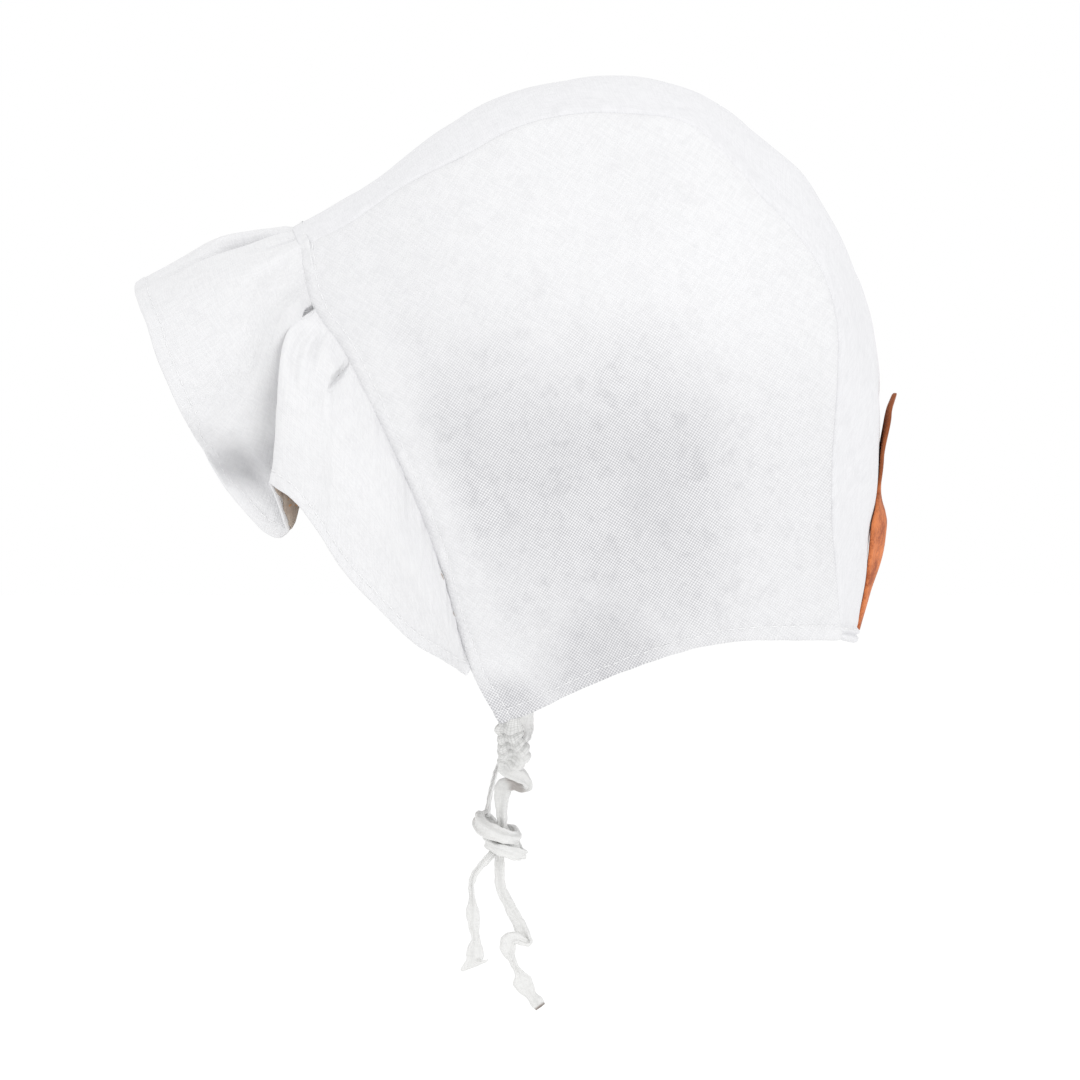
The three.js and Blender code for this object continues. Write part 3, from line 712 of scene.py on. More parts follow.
class Graph:
    """The node tree of one material."""

    def __init__(self, name: str) -> None:
        """Start an empty material of this name.

        Args:
            name: The material's name.
        """
        self.material = bpy.data.materials.new(name)
        self.material.use_nodes = True
        self.tree = self.material.node_tree
        self.tree.nodes.clear()

    def node(self, kind: str, settings: dict | None = None, inputs: dict | None = None,
             output: int | str = 0) -> Signal:
        """Add one node.

        Args:
            kind: The node's type without its ShaderNode prefix.
            settings: Its settings, set first.
            inputs: Values or signals for its sockets, by name or number.
            output: The socket to return.

        Returns:
            The output as a signal.
        """
        node = self.tree.nodes.new("ShaderNode" + kind)
        for key, value in (settings or {}).items():
            setattr(node, key, value)
        for key, value in (inputs or {}).items():
            if isinstance(value, Signal):
                self.tree.links.new(value.socket, node.inputs[key])
            else:
                node.inputs[key].default_value = value
        return Signal(self, node.outputs[output])

    def mix(self, factor: Signal | float, first: Signal | tuple, second: Signal | tuple) -> Signal:
        """Mix two colours."""
        first, second = ((*c, 1.0) if isinstance(c, tuple) else c for c in (first, second))
        return self.node("Mix", {"data_type": "RGBA"}, {0: factor, 6: first, 7: second}, 2)

    def chart(self) -> tuple[Signal, Signal]:
        """The piece's own texture coordinates, in metres along its two threads."""
        source = self.node("UVMap", {"uv_map": "Weave"})
        return self.part(source, 0), self.part(source, 1)

    def place(self) -> Signal:
        """The place on the bonnet, in metres on the wearer."""
        return self.node("TexCoord", None, None, "Object")

    def part(self, vector: Signal, axis: int) -> Signal:
        """One coordinate of a vector."""
        return self.node("SeparateXYZ", None, {0: vector}, axis)

    def vector(self, x: Signal | float, y: Signal | float, z: Signal | float = 0.0) -> Signal:
        """A vector of three numbers."""
        return self.node("CombineXYZ", None, {0: x, 1: y, 2: z})

    def noise(self, place: Signal | None, scale: float, detail: float = 2.0,
              roughness: float = 0.5) -> Signal:
        """Noise from 0 to 1, by the place on the bonnet where no other is given."""
        sizes = {"Scale": scale, "Detail": detail, "Roughness": roughness}
        return self.node("TexNoise", None, {"Vector": place or self.place(), **sizes})

    def finish(self, colour: Signal | tuple, height: Signal | None, relief: float, strength: float,
               constants: dict, roughness: Signal | float) -> bpy.types.Material:
        """Close the tree with one Principled shader.

        Args:
            colour: The base colour.
            height: The relief from 0 to 1, or None for a smooth face.
            relief: The height of the relief in metres.
            strength: The strength of the bump.
            constants: Further sockets that are the same all over.
            roughness: The roughness.

        Returns:
            The material.
        """
        inputs = {"Base Color": colour, "Roughness": roughness, **constants}
        if isinstance(colour, tuple):
            inputs["Base Color"] = (*colour, 1.0)
        if height is not None:
            bump = {"Height": height, "Distance": relief, "Strength": strength}
            inputs["Normal"] = self.node("Bump", None, bump)
        shader = self.node("BsdfPrincipled", None, inputs)
        output = self.tree.nodes.new("ShaderNodeOutputMaterial")
        self.tree.links.new(shader.socket, output.inputs["Surface"])
        return self.material


class Oval(NamedTuple):
    """A ragged oval of opener weave with painted shade on the panels, in metres on the wearer.

    Its middle is at back and up. Wide and tall weigh the distances from it, full_at and
    gone_at are the weighed distances between which it fades out.
    """

    back: float
    up: float
    tilt: float
    wide: float
    tall: float
    ragged: float
    full_at: float
    gone_at: float
    depth: float

    def strength(self, back: Signal, up: Signal, patches: Signal) -> Signal:
        """How strongly the oval shows at each place, from 0 to its depth.

        Args:
            back: The place's Y in metres, which grows towards the nape.
            up: Its Z in metres, which grows upwards.
            patches: Noise from 0 to 1 that makes the oval's rim ragged.

        Returns:
            The strength at each place.
        """
        across = back - self.back
        rise = up - self.up + across * self.tilt
        far = (across * across * self.wide + rise * rise * self.tall) ** 0.5
        far = far + (patches - 0.5) * self.ragged
        return (1 - far.step(self.full_at, self.gone_at)) * self.depth


# Ovals of opener weave under painted shade, where shade falls on the panels: the middle, the neck and the
# tie corner.
SHADE_OVAL_MIDDLE = Oval(0.0, -0.1145, 0.10, 0.5, 1.35, 0.045, 0.014, 0.072, 1.0)
SHADE_OVAL_NECK = Oval(-0.0042, -0.160, 0.0, 1.0, 0.6, 0.020, 0.006, 0.027, 0.95)
SHADE_OVAL_CORNER = Oval(-0.031, -0.177, 0.0, 1.0, 1.0, 0.008, 0.005, 0.017, 1.0)


@dataclass(frozen=True)
class Linen:
    """Plain woven linen with short uneven threads, its weave opener and greyed by painted shade in ovals,
    on the upper front and in broad clouds.
    """

    name: str = "white linen"
    light: tuple[float, float, float] = (0.79, 0.79, 0.80)
    shade: tuple[float, float, float] = (0.43, 0.43, 0.45)
    pitch: float = 0.00066
    relief: float = 0.00016
    strength: float = 0.5
    # How strongly the opener weave and painted shade of the ovals and the painted brow shade show.
    mottle: float = 1.0
    slub_scale: float = 230.0
    base_openness: float = 0.05
    brow_shade_depth: float = 0.10
    # The darkening colour paints shade on the near tie's underside and darkens the frayed end's tip.
    darkening: tuple[float, float, float] = (0.16, 0.11, 0.085)
    darkening_at: float = -1.0
    darkening_reach: float = 0.001
    darkening_depth: float = 0.85

    def openness_and_shade(self, graph: Graph, back: Signal, up: Signal) -> Signal:
        """How open the weave is and how much painted shade greys it: three ovals, the middle one clear of
        the seams.

        Args:
            graph: The material's node tree.
            back: The distance backwards at each place.
            up: The height at each place.

        Returns:
            A number from 0, closely woven and unshaded, to the cloth's mottle weight.
        """
        patches = graph.noise(None, 34.0, 3.0, 0.55)
        off_face_edge = (back + up * 0.37 + 0.100).step(0.004, 0.017)
        off_gusset = 1 - back.step(0.018, 0.036) * 0.45
        open_and_shaded = SHADE_OVAL_MIDDLE.strength(back, up, patches) * (off_face_edge * off_gusset)
        for oval in (SHADE_OVAL_NECK, SHADE_OVAL_CORNER):
            open_and_shaded = open_and_shaded.math("MAXIMUM", oval.strength(back, up, patches))
        return open_and_shaded * self.mottle

    def material(self) -> bpy.types.Material:
        """Build the material.

        Returns:
            The material, ready for a piece.
        """
        graph = Graph(self.name)
        across, along = graph.chart()
        wander = graph.noise(None, 75.0, 2.0) - 0.5
        warp = across / self.pitch + wander * 1.8
        weft = along / self.pitch + wander * 1.6
        threads = abs((warp * math.pi).sine()) * abs((weft * math.pi).sine())
        gaps = 1 - threads.step(0.0, 0.55)
        warp_slub = graph.noise(graph.vector(warp * 0.9, along * self.slub_scale), 1.0, 0.0)
        weft_slub = graph.noise(graph.vector(across * self.slub_scale, weft * 0.9), 1.0, 0.0)
        slubs = ((warp_slub + weft_slub) * 0.5).step(0.36, 0.66)
        place = graph.place()
        back, up = graph.part(place, 1), graph.part(place, 2)
        open_and_shaded = self.openness_and_shade(graph, back, up)
        # Painted shade greys the upper front of each panel.
        brow_shade = up.step(-0.088, -0.066) * (1 - back.step(-0.070, -0.018)) * self.mottle
        # Broad clouds of painted shade, added with fine grey specks.
        shade_clouds = graph.noise(None, 17.0, 2.0).step(0.40, 0.68)
        specks = graph.noise(None, 210.0, 2.0, 0.6).step(0.50, 0.72)
        faint = self.base_openness + open_and_shaded * 0.10
        # Gaps between threads darken, much more inside the painted shade ovals, and this mixes the light
        # tone towards the shade tone.
        dark = gaps * (self.base_openness + open_and_shaded * 0.85) + slubs * 0.08
        dark = dark + (specks + shade_clouds) * faint + brow_shade * self.brow_shade_depth
        colour = graph.mix(dark, self.light, self.shade)
        # A band across the strip at darkening_at mixes towards the darkening colour: painted shade under
        # the near tie's twist, a darker tip on the frayed end.
        if self.darkening_at > 0:
            near = 1 - abs(along - self.darkening_at).step(0.3 * self.darkening_reach, self.darkening_reach)
            colour = graph.mix(near * self.darkening_depth, colour, self.darkening)
        height = threads * 0.6 + slubs * 0.5
        constants = {"Sheen Weight": 0.12, "Sheen Roughness": 0.5, "Specular IOR Level": 0.2}
        return graph.finish(colour, height, self.relief, self.strength, constants, 0.93)


@dataclass(frozen=True)
class PrintedLining:
    """Fine cotton with a scattered print of small petals and dots."""

    name: str = "printed lining"
    ground: tuple[float, float, float] = (0.36, 0.29, 0.24)
    petal: tuple[float, float, float] = (0.56, 0.25, 0.22)
    dot: tuple[float, float, float] = (0.50, 0.22, 0.06)
    leaf: tuple[float, float, float] = (0.56, 0.52, 0.44)
    repeat: float = 0.0062
    thread_pitch: float = 0.0004

    def material(self) -> bpy.types.Material:
        """Build the material.

        Returns:
            The material, ready for a piece.
        """
        graph = Graph(self.name)
        across, along = graph.chart()
        place = graph.vector(across / self.repeat, along / self.repeat)
        cells = {"Vector": place, "Scale": 1.0, "Randomness": 0.8}
        cell = graph.node("TexVoronoi", None, cells, "Distance")
        tint = graph.node("TexVoronoi", None, cells, "Color")
        pick = graph.node("SeparateColor", None, {0: tint}, 0)
        bend = graph.noise(place, 2.2, 1.0)
        petals = 1 - (cell + bend * 0.35).step(0.42, 0.50)
        small_cells = {"Vector": place, "Scale": 2.6, "Randomness": 0.9}
        fine = graph.node("TexVoronoi", None, small_cells, "Distance")
        dots = 1 - fine.step(0.16, 0.22)
        flower = graph.mix(pick.step(0.45, 0.5), self.petal, self.leaf)
        flower = graph.mix(pick.step(0.78, 0.82), flower, self.dot)
        colour = graph.mix(petals, self.ground, flower)
        colour = graph.mix(dots * 0.7, colour, self.dot)
        threads = abs((across / self.thread_pitch * math.pi).sine())
        threads = threads * abs((along / self.thread_pitch * math.pi).sine())
        mottle = graph.noise(None, 160.0, 2.0)
        colour = graph.mix(mottle.step(0.3, 0.7) * 0.35, colour, self.leaf)
        constants = {"Sheen Weight": 0.08, "Specular IOR Level": 0.2}
        return graph.finish(colour, threads, 0.00012, 0.4, constants, 0.9)


@dataclass(frozen=True)
class Leather:
    """Tan leather with a napped grain, with painted shade on its upper lobe."""

    name: str = "tan leather"
    light: tuple[float, float, float] = (0.68, 0.215, 0.075)
    dark: tuple[float, float, float] = (0.30, 0.065, 0.018)
    upper_lobe_shade: tuple[float, float, float] = (0.21, 0.055, 0.014)
    upper_lobe_shade_from: float = 0.108
    upper_lobe_shade_to: float = 0.124

    def material(self) -> bpy.types.Material:
        """Build the material.

        Returns:
            The material, ready for a piece.
        """
        graph = Graph(self.name)
        pores = graph.noise(None, 1500.0, 3.0, 0.65)
        creases = graph.noise(None, 420.0, 4.0, 0.6)
        cloud = graph.noise(None, 120.0, 3.0, 0.55)
        height = pores * 0.5 + creases * 0.6
        tone = (cloud * 0.4 + creases * 0.35 + pores * 0.25).step(0.38, 0.60)
        colour = graph.mix(tone, self.dark, self.light)
        # Painted shade: the upper lobe, above the pinch, mixes towards a darker brown for the shadow
        # between the lobe and the crown.
        below = graph.part(graph.place(), 2) * -1.0
        darkening = 1 - (below + (cloud - 0.5) * 0.02).step(self.upper_lobe_shade_from, self.upper_lobe_shade_to)
        colour = graph.mix(darkening * 0.80, colour, self.upper_lobe_shade)
        roughness = 0.55 + creases * 0.3
        return graph.finish(colour, height, 0.00035, 0.5, {"Specular IOR Level": 0.3}, roughness)


@dataclass(frozen=True)
class Thread:
    """Twisted white sewing thread."""

    name: str = "sewing thread"
    colour: tuple[float, float, float] = (0.86, 0.86, 0.865)
    hollow: tuple[float, float, float] = (0.70, 0.70, 0.71)

    def material(self) -> bpy.types.Material:
        """Build the material.

        Returns:
            The material, ready for a piece.
        """
        graph = Graph(self.name)
        across, along = graph.chart()
        twist = abs((along * 5200.0 + across * 2600.0).sine())
        # Painted shade in the hollows of the twist.
        colour = graph.mix(twist * 0.25, self.colour, self.hollow)
        return graph.finish(colour, twist, 0.00006, 0.5, {"Specular IOR Level": 0.35}, 0.6)


@dataclass(frozen=True)
class Backdrop:
    """The pale studio floor."""

    name: str = "pale floor"
    colour: tuple[float, float, float] = (0.93, 0.93, 0.93)
    glow: float = 0.10

    def material(self) -> bpy.types.Material:
        """Build the material.

        Returns:
            The material, ready for a piece.
        """
        graph = Graph(self.name)
        grain = graph.noise(None, 30.0, 2.0)
        colour = graph.mix(grain, self.colour, tuple(0.985 * part for part in self.colour))
        glow = {"Emission Color": (1.0, 1.0, 1.0, 1.0), "Emission Strength": self.glow}
        return graph.finish(colour, None, 0.0, 0.0, {"Specular IOR Level": 0.0, **glow}, 1.0)


def dress(thing: bpy.types.Object, material: bpy.types.Material,
          replaced: Sequence[str] = ()) -> None:
    """Give a piece its finish, its body and the frame nodes that it stands for.

    Args:
        thing: The finished piece.
        material: Its finish.
        replaced: The frame nodes that it stands for.
    """
    thing.data.materials.clear()
    thing.data.materials.append(material)
    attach(thing, "root")
    if replaced:
        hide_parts(*replaced)
    LOG.info("%s: %d faces", thing.name, len(thing.data.polygons))


# The cut of the bonnet


@dataclass
class Cut:
    """The shape of the crown and brim, before seams, hems and wrinkles."""

    depth: float = 0.162
    height: float = 0.177
    breadth: float = 0.124
    gusset_breadth: float = 0.086
    panel_swell: float = 0.009
    brim_depth: float = 0.047
    step_down: float = 0.00015
    turn_row: int = 10
    brim_end: float = 0.875

    def place(self, x: Array, fore: Array, drop: Array) -> Array:
        """Places in the crown, from shares of its depth and height."""
        return np.stack([x, np.asarray(fore) * self.depth, np.asarray(drop) * self.height], axis=-1)

    def outward(self, points: Array) -> Array:
        """The way from the middle of the head out through each point.

        Args:
            points: Points of the crown in metres.

        Returns:
            A way of length 1 for each point.
        """
        middle = np.zeros_like(points)
        middle[..., 1] = -0.06 * self.depth
        middle[..., 2] = np.clip(points[..., 2], -0.85 * self.height, -0.4 * self.height)
        return unit(points - middle)

    def gusset_middle(self, rows: Array) -> Array:
        """The middle line of the gusset."""
        table = np.array(GUSSET_ROWS)
        return spline(self.place(np.zeros(len(table)), table[:, 0], table[:, 1]), rows)

    def gusset_seam(self, rows: Array) -> Array:
        """The left seam of the gusset."""
        table = np.array(GUSSET_ROWS)
        half = self.gusset_breadth / 2
        return spline(self.place(table[:, 4] * half, table[:, 2], table[:, 3]), rows)

    def gusset(self, rows: Array, across: Array) -> Array:
        """The outer face of the gusset, rows by columns.

        Args:
            rows: Places in the gusset's table, with fractions.
            across: Shares of its half width, from -1 at the right seam to 1 at the left one.

        Returns:
            The grid of points.
        """
        seam, middle = self.gusset_seam(rows)[:, None], self.gusset_middle(rows)[:, None]
        crown = (1 - np.abs(across) ** 2.2)[None, :, None]
        points = seam + (middle - seam) * crown
        points[..., 0] = seam[..., 0] * across[None, :]
        return points

    def edge_line(self, rows: Sequence[EdgeRow]) -> Array:
        """The table points of a panel's free edge."""
        table = np.array(rows)
        return self.place(table[:, 0] * self.breadth / 2, table[:, 1], table[:, 2])

    def face_edge(self, share: Array) -> Array:
        """The face edge of the left panel, from the gusset to the tie corner."""
        line = np.vstack([self.gusset_seam(np.array([0.0])), self.edge_line(FACE_EDGE_ROWS)])
        return spline(line, np.asarray(share) * (len(line) - 1))

    def neck_edge(self, share: Array) -> Array:
        """The neck edge of the left panel, from the tie corner to the nape.

        Args:
            share: Shares of the way, from 0 at the tie corner to 1 at the nape.

        Returns:
            The points there.
        """
        start = self.face_edge(np.array([1.0]))
        end = self.gusset_seam(np.array([len(GUSSET_ROWS) - 1.0]))
        line = np.vstack([start, self.edge_line(NECK_EDGE_ROWS), end])
        return spline(line, np.asarray(share) * (len(line) - 1))

    def panel(self, along: Array, down: Array) -> Array:
        """The outer face of the left panel, a patch stretched between its edges.

        Args:
            along: Shares from 0 at the face edge to 1 at the back seam.
            down: Shares from 0 at the top seam to 1 at the neck edge.

        Returns:
            The grid of points, along by down.
        """
        last = len(GUSSET_ROWS) - 1
        top, bottom = self.gusset_seam(along * self.turn_row), self.neck_edge(along)
        front = self.face_edge(down)
        back = self.gusset_seam(self.turn_row + down * (last - self.turn_row))
        a, d = along[:, None, None], down[None, :, None]
        corner_1, corner_2 = self.gusset_seam(np.array([0.0, self.turn_row]))
        corner_3, corner_4 = self.neck_edge(np.array([0.0, 1.0]))
        points = (1 - d) * top[:, None] + d * bottom[:, None] + (1 - a) * front[None] + a * back[None]
        points = points - (1 - a) * (1 - d) * corner_1 - a * (1 - d) * corner_2
        points = points - (1 - a) * d * corner_3 - a * d * corner_4
        bow = np.clip(np.sin(math.pi * a) * np.sin(math.pi * d), 0, 1)[..., 0] ** 0.62
        points[..., 0] += self.panel_swell * bow
        for dent in PANEL_DENTS:
            far = ((a - dent.along) ** 2 + (d - dent.down) ** 2)[..., 0] / dent.spread**2
            points[..., 0] += dent.rise * np.exp(-far) * bow
        return points

    def brow_edge(self) -> Array:
        """The edge that the brim is sewn to, from the right end to the left end.

        Returns:
            The points of the edge.
        """
        left = self.face_edge(np.linspace(0, self.brim_end, 120))
        middle = self.gusset(np.array([0.0]), np.linspace(0, 1, 60))[0][:-1]
        half = np.vstack([middle, left])
        mirrored = half[:0:-1] * np.array([-1.0, 1.0, 1.0])
        return np.vstack([mirrored, half])

    def brim(self, rows: Array, out: Array) -> tuple[Array, Array, Array]:
        """The outer face of the brim.

        Args:
            rows: Places in the table of ribs.
            out: Shares from the seam at 0 to the hem at 1.

        Returns:
            The grid of points, the way out through the seam at each row, and each row's seat.
        """
        edge = self.brow_edge()
        length = travelled(edge)

        def on_edge(seat: Array) -> Array:
            """Points of the edge at seats from -1 to 1."""
            at = (np.asarray(seat) + 1) / 2 * length[-1]
            return read_line(edge, length, at)

        table_seats = np.array([row.seat for row in BRIM_ROWS])
        table_points = on_edge(table_seats)
        mid = np.array([row.mid for row in BRIM_ROWS])
        hem = np.array([row.hem for row in BRIM_ROWS])
        plain = 0.75 * mid - 0.125 * hem
        near = np.array([row.near or plain[index] for index, row in enumerate(BRIM_ROWS)])
        lines = (table_points + part * self.brim_depth for part in (near, mid, hem))
        near, mid, hem = (spline(line, rows) for line in lines)
        seats = spline(table_seats[:, None], rows)[:, 0]
        seam = on_edge(seats)
        way_out = self.outward(seam)
        ahead = unit(np.cross(unit(np.gradient(seam, axis=0)), way_out))
        ahead *= np.where(ahead[:, 1:2] < 0, 1.0, -1.0)
        start = seam - way_out * self.step_down
        ribs = np.stack([start, near, mid, hem]).reshape(4, -1)
        places = np.interp(out, [0.0, 0.25, 0.5, 1.0], np.arange(4.0))
        points = spline(ribs, places).reshape(len(out), -1, 3).transpose(1, 0, 2)
        tuck = np.maximum(-out, 0.0)[None, :, None]
        points = points - (ahead + 0.55 * way_out)[:, None] * tuck * self.brim_depth
        return points, way_out, seats


@dataclass
class Hem:
    """How the bonnet's seams and hems are sewn, in metres."""

    stitch_in: float = 0.0034
    groove: float = 0.00016
    groove_width: float = 0.0006
    pucker: float = 0.00032
    pucker_reach: float = 0.0055
    pucker_from: float = 0.0022
    shortest_pucker: float = 0.0045
    longest_pucker: float = 0.012
    turned_rise: float = 0.00022
    turned_edge: float = 0.0006

    def relief(self, reach: Array, position: Array, seed: int, stitched: bool) -> Array:
        """How far the cloth stands out beside an edge.

        Args:
            reach: The distance from the edge at each point.
            position: The distance along the edge at each point.
            seed: The seed of the puckers.
            stitched: Whether a row of stitches runs beside the edge.

        Returns:
            The displacement along the outward normal at each point.
        """
        wave = Drift(seed, self.shortest_pucker, self.longest_pucker).along(position)
        fade = np.exp(-reach / self.pucker_reach) * smooth(reach, 0.0, self.pucker_from)
        out = self.pucker * wave * fade
        if stitched:
            turned = 1 - smooth(reach, self.stitch_in - self.turned_edge, self.stitch_in)
            out = out - self.groove * bell(reach, self.stitch_in, self.groove_width)
            out = out + self.turned_rise * turned
        return out


class Surface(NamedTuple):
    """The finished outer face of a cloth piece, kept for its stitches."""

    points: Array
    normals: Array


def line_beside(surface: Surface, edge: Edge, reach: float) -> tuple[Array, Array]:
    """A line on a surface that keeps one distance from an edge, with its normals.

    Args:
        surface: The cloth's outer face.
        edge: The edge that the line follows.
        reach: The distance from it in metres.

    Returns:
        The points of the line and the ways out of the cloth.
    """
    distances = reach_from(surface.points, edge)
    axis, _ = edge.value
    points, normals = surface
    if axis == 0:
        distances = distances.T
        points, normals = points.transpose(1, 0, 2), normals.transpose(1, 0, 2)
    line, ways = [], []
    for index, row in enumerate(distances):
        order = np.argsort(row)
        line.append([np.interp(reach, row[order], points[index, order, i]) for i in range(3)])
        ways.append([np.interp(reach, row[order], normals[index, order, i]) for i in range(3)])
    return np.array(line), unit(np.array(ways))


@dataclass
class Gusset:
    """The band over the crown, from the forehead to the nape."""

    cut: Cut
    hem: Hem
    wall: float = 0.0012
    rows: int = 300
    columns: int = 90
    trim: float = 0.0004
    seam_sink: float = 0.0004
    seam_width: float = 0.0008
    nape_rise: float = 0.0006
    nape_crease: float = 0.0009
    nape_thicker: float = 0.0008
    sag: float = 0.0007
    wrinkle: float = 0.0002

    def build(self, finish: bpy.types.Material) -> Surface:
        """Make and dress the gusset.

        Args:
            finish: The cloth.

        Returns:
            Its outer face.
        """
        last = len(GUSSET_ROWS) - 1
        rows = last * (1 - np.linspace(1.0, 0.0, self.rows) ** 1.5)
        half = self.cut.gusset_breadth / 2
        across = np.linspace(-1, 1, self.columns) * (1 - self.trim / half)
        points = self.cut.gusset(rows, across)
        normals = turned_like(grid_normals(points), self.cut.outward(points))
        seams = [reach_from(points, edge) for edge in (Edge.FIRST_COLUMN, Edge.LAST_COLUMN)]
        front, nape = reach_from(points, Edge.FIRST_ROW), reach_from(points, Edge.LAST_ROW)
        side = seams[0]
        relief = self.hem.relief(seams[0], front, 11, False)
        relief += self.hem.relief(seams[1], front, 12, False)
        relief += self.hem.relief(front, side, 13, False)
        relief += self.hem.relief(nape, side, 14, True)
        relief += self.nape_rise * (1 - smooth(nape, 0.0020, 0.0034))
        relief -= self.nape_crease * bell(nape, 0.0012, 0.0004)
        for seam in seams:
            relief -= self.seam_sink * bell(seam, 0.0, self.seam_width)
        nearest = np.minimum(*seams)
        relief += self.sag * Drift(15, 0.035, 0.08).at(points) * smooth(nearest, 0.0, 0.012)
        relief += self.wrinkle * Drift(16, 0.010, 0.022).at(points) * smooth(nearest, 0.0, 0.003)
        points = points + normals * relief[..., None]
        thick = self.wall + self.nape_thicker * (1 - smooth(nape, 0.003, 0.0045))
        inner = points - self.cut.outward(points) * thick[..., None]
        chart = np.stack([points[..., 0] + 0.2, front], axis=-1)
        thing = sewn_wall("crown_gusset_cloth", points, inner, chart)
        dress(thing, finish, ("crown_gusset",))
        return Surface(points, turned_like(grid_normals(points), normals))


@dataclass
class SidePanel:
    """One domed side of the crown."""

    cut: Cut
    hem: Hem
    side: int
    seed: int
    wall: float = 0.0012
    rows: int = 190
    columns: int = 160
    trim: float = 0.0004
    bias: float = math.radians(32.0)
    seam_sink: float = 0.0004
    seam_width: float = 0.0008
    hem_thicker: float = 0.0006
    sag: float = 0.0011
    wrinkle: float = 0.00022

    @property
    def word(self) -> str:
        """The wearer's side that the panel is on."""
        return "left" if self.side > 0 else "right"

    def build(self, finish: bpy.types.Material) -> Surface:
        """Make and dress the panel.

        Args:
            finish: The cloth.

        Returns:
            Its outer face.
        """
        whole = self.cut.panel(np.linspace(0, 1, 40), np.linspace(0, 1, 40))
        length = reach_from(whole, Edge.FIRST_ROW)[-1].mean()
        height = reach_from(whole, Edge.FIRST_COLUMN)[:, -1].mean()
        along = np.linspace(0.0, 1 - self.trim / length, self.rows)
        down = np.linspace(self.trim / height, 1.0, self.columns)
        points = self.cut.panel(along, down) * np.array([self.side, 1.0, 1.0])
        normals = turned_like(grid_normals(points), self.cut.outward(points))
        face, back = reach_from(points, Edge.FIRST_ROW), reach_from(points, Edge.LAST_ROW)
        top, neck = reach_from(points, Edge.FIRST_COLUMN), reach_from(points, Edge.LAST_COLUMN)
        relief = self.hem.relief(face, top, self.seed, True)
        relief += self.hem.relief(neck, face, self.seed + 1, True)
        relief += self.hem.relief(top, face, self.seed + 2, False)
        relief += self.hem.relief(back, top, self.seed + 3, False)
        relief -= self.seam_sink * (bell(top, 0.0, self.seam_width) + bell(back, 0.0, self.seam_width))
        calm = smooth(np.minimum.reduce([face, back, top, neck]), 0.0, 0.02)
        relief += self.sag * Drift(self.seed + 4, 0.045, 0.10).at(points) * calm
        relief += self.wrinkle * Drift(self.seed + 5, 0.010, 0.024).at(points) * smooth(calm, 0.0, 0.1)
        points = points + normals * relief[..., None]
        thick = self.wall + self.hem_thicker * (1 - smooth(neck, 0.003, 0.0045))
        inner = points - self.cut.outward(points) * thick[..., None]
        fore, rise = points[..., 1] + 0.3, points[..., 2] + 0.3
        cosine, sine = math.cos(self.bias), math.sin(self.bias)
        chart = np.stack([fore * cosine - rise * sine, fore * sine + rise * cosine], axis=-1)
        thing = sewn_wall(f"side_panel_{self.word}_cloth", points, inner, chart)
        dress(thing, finish, (f"side_panel_{self.word}",))
        return Surface(points, normals)


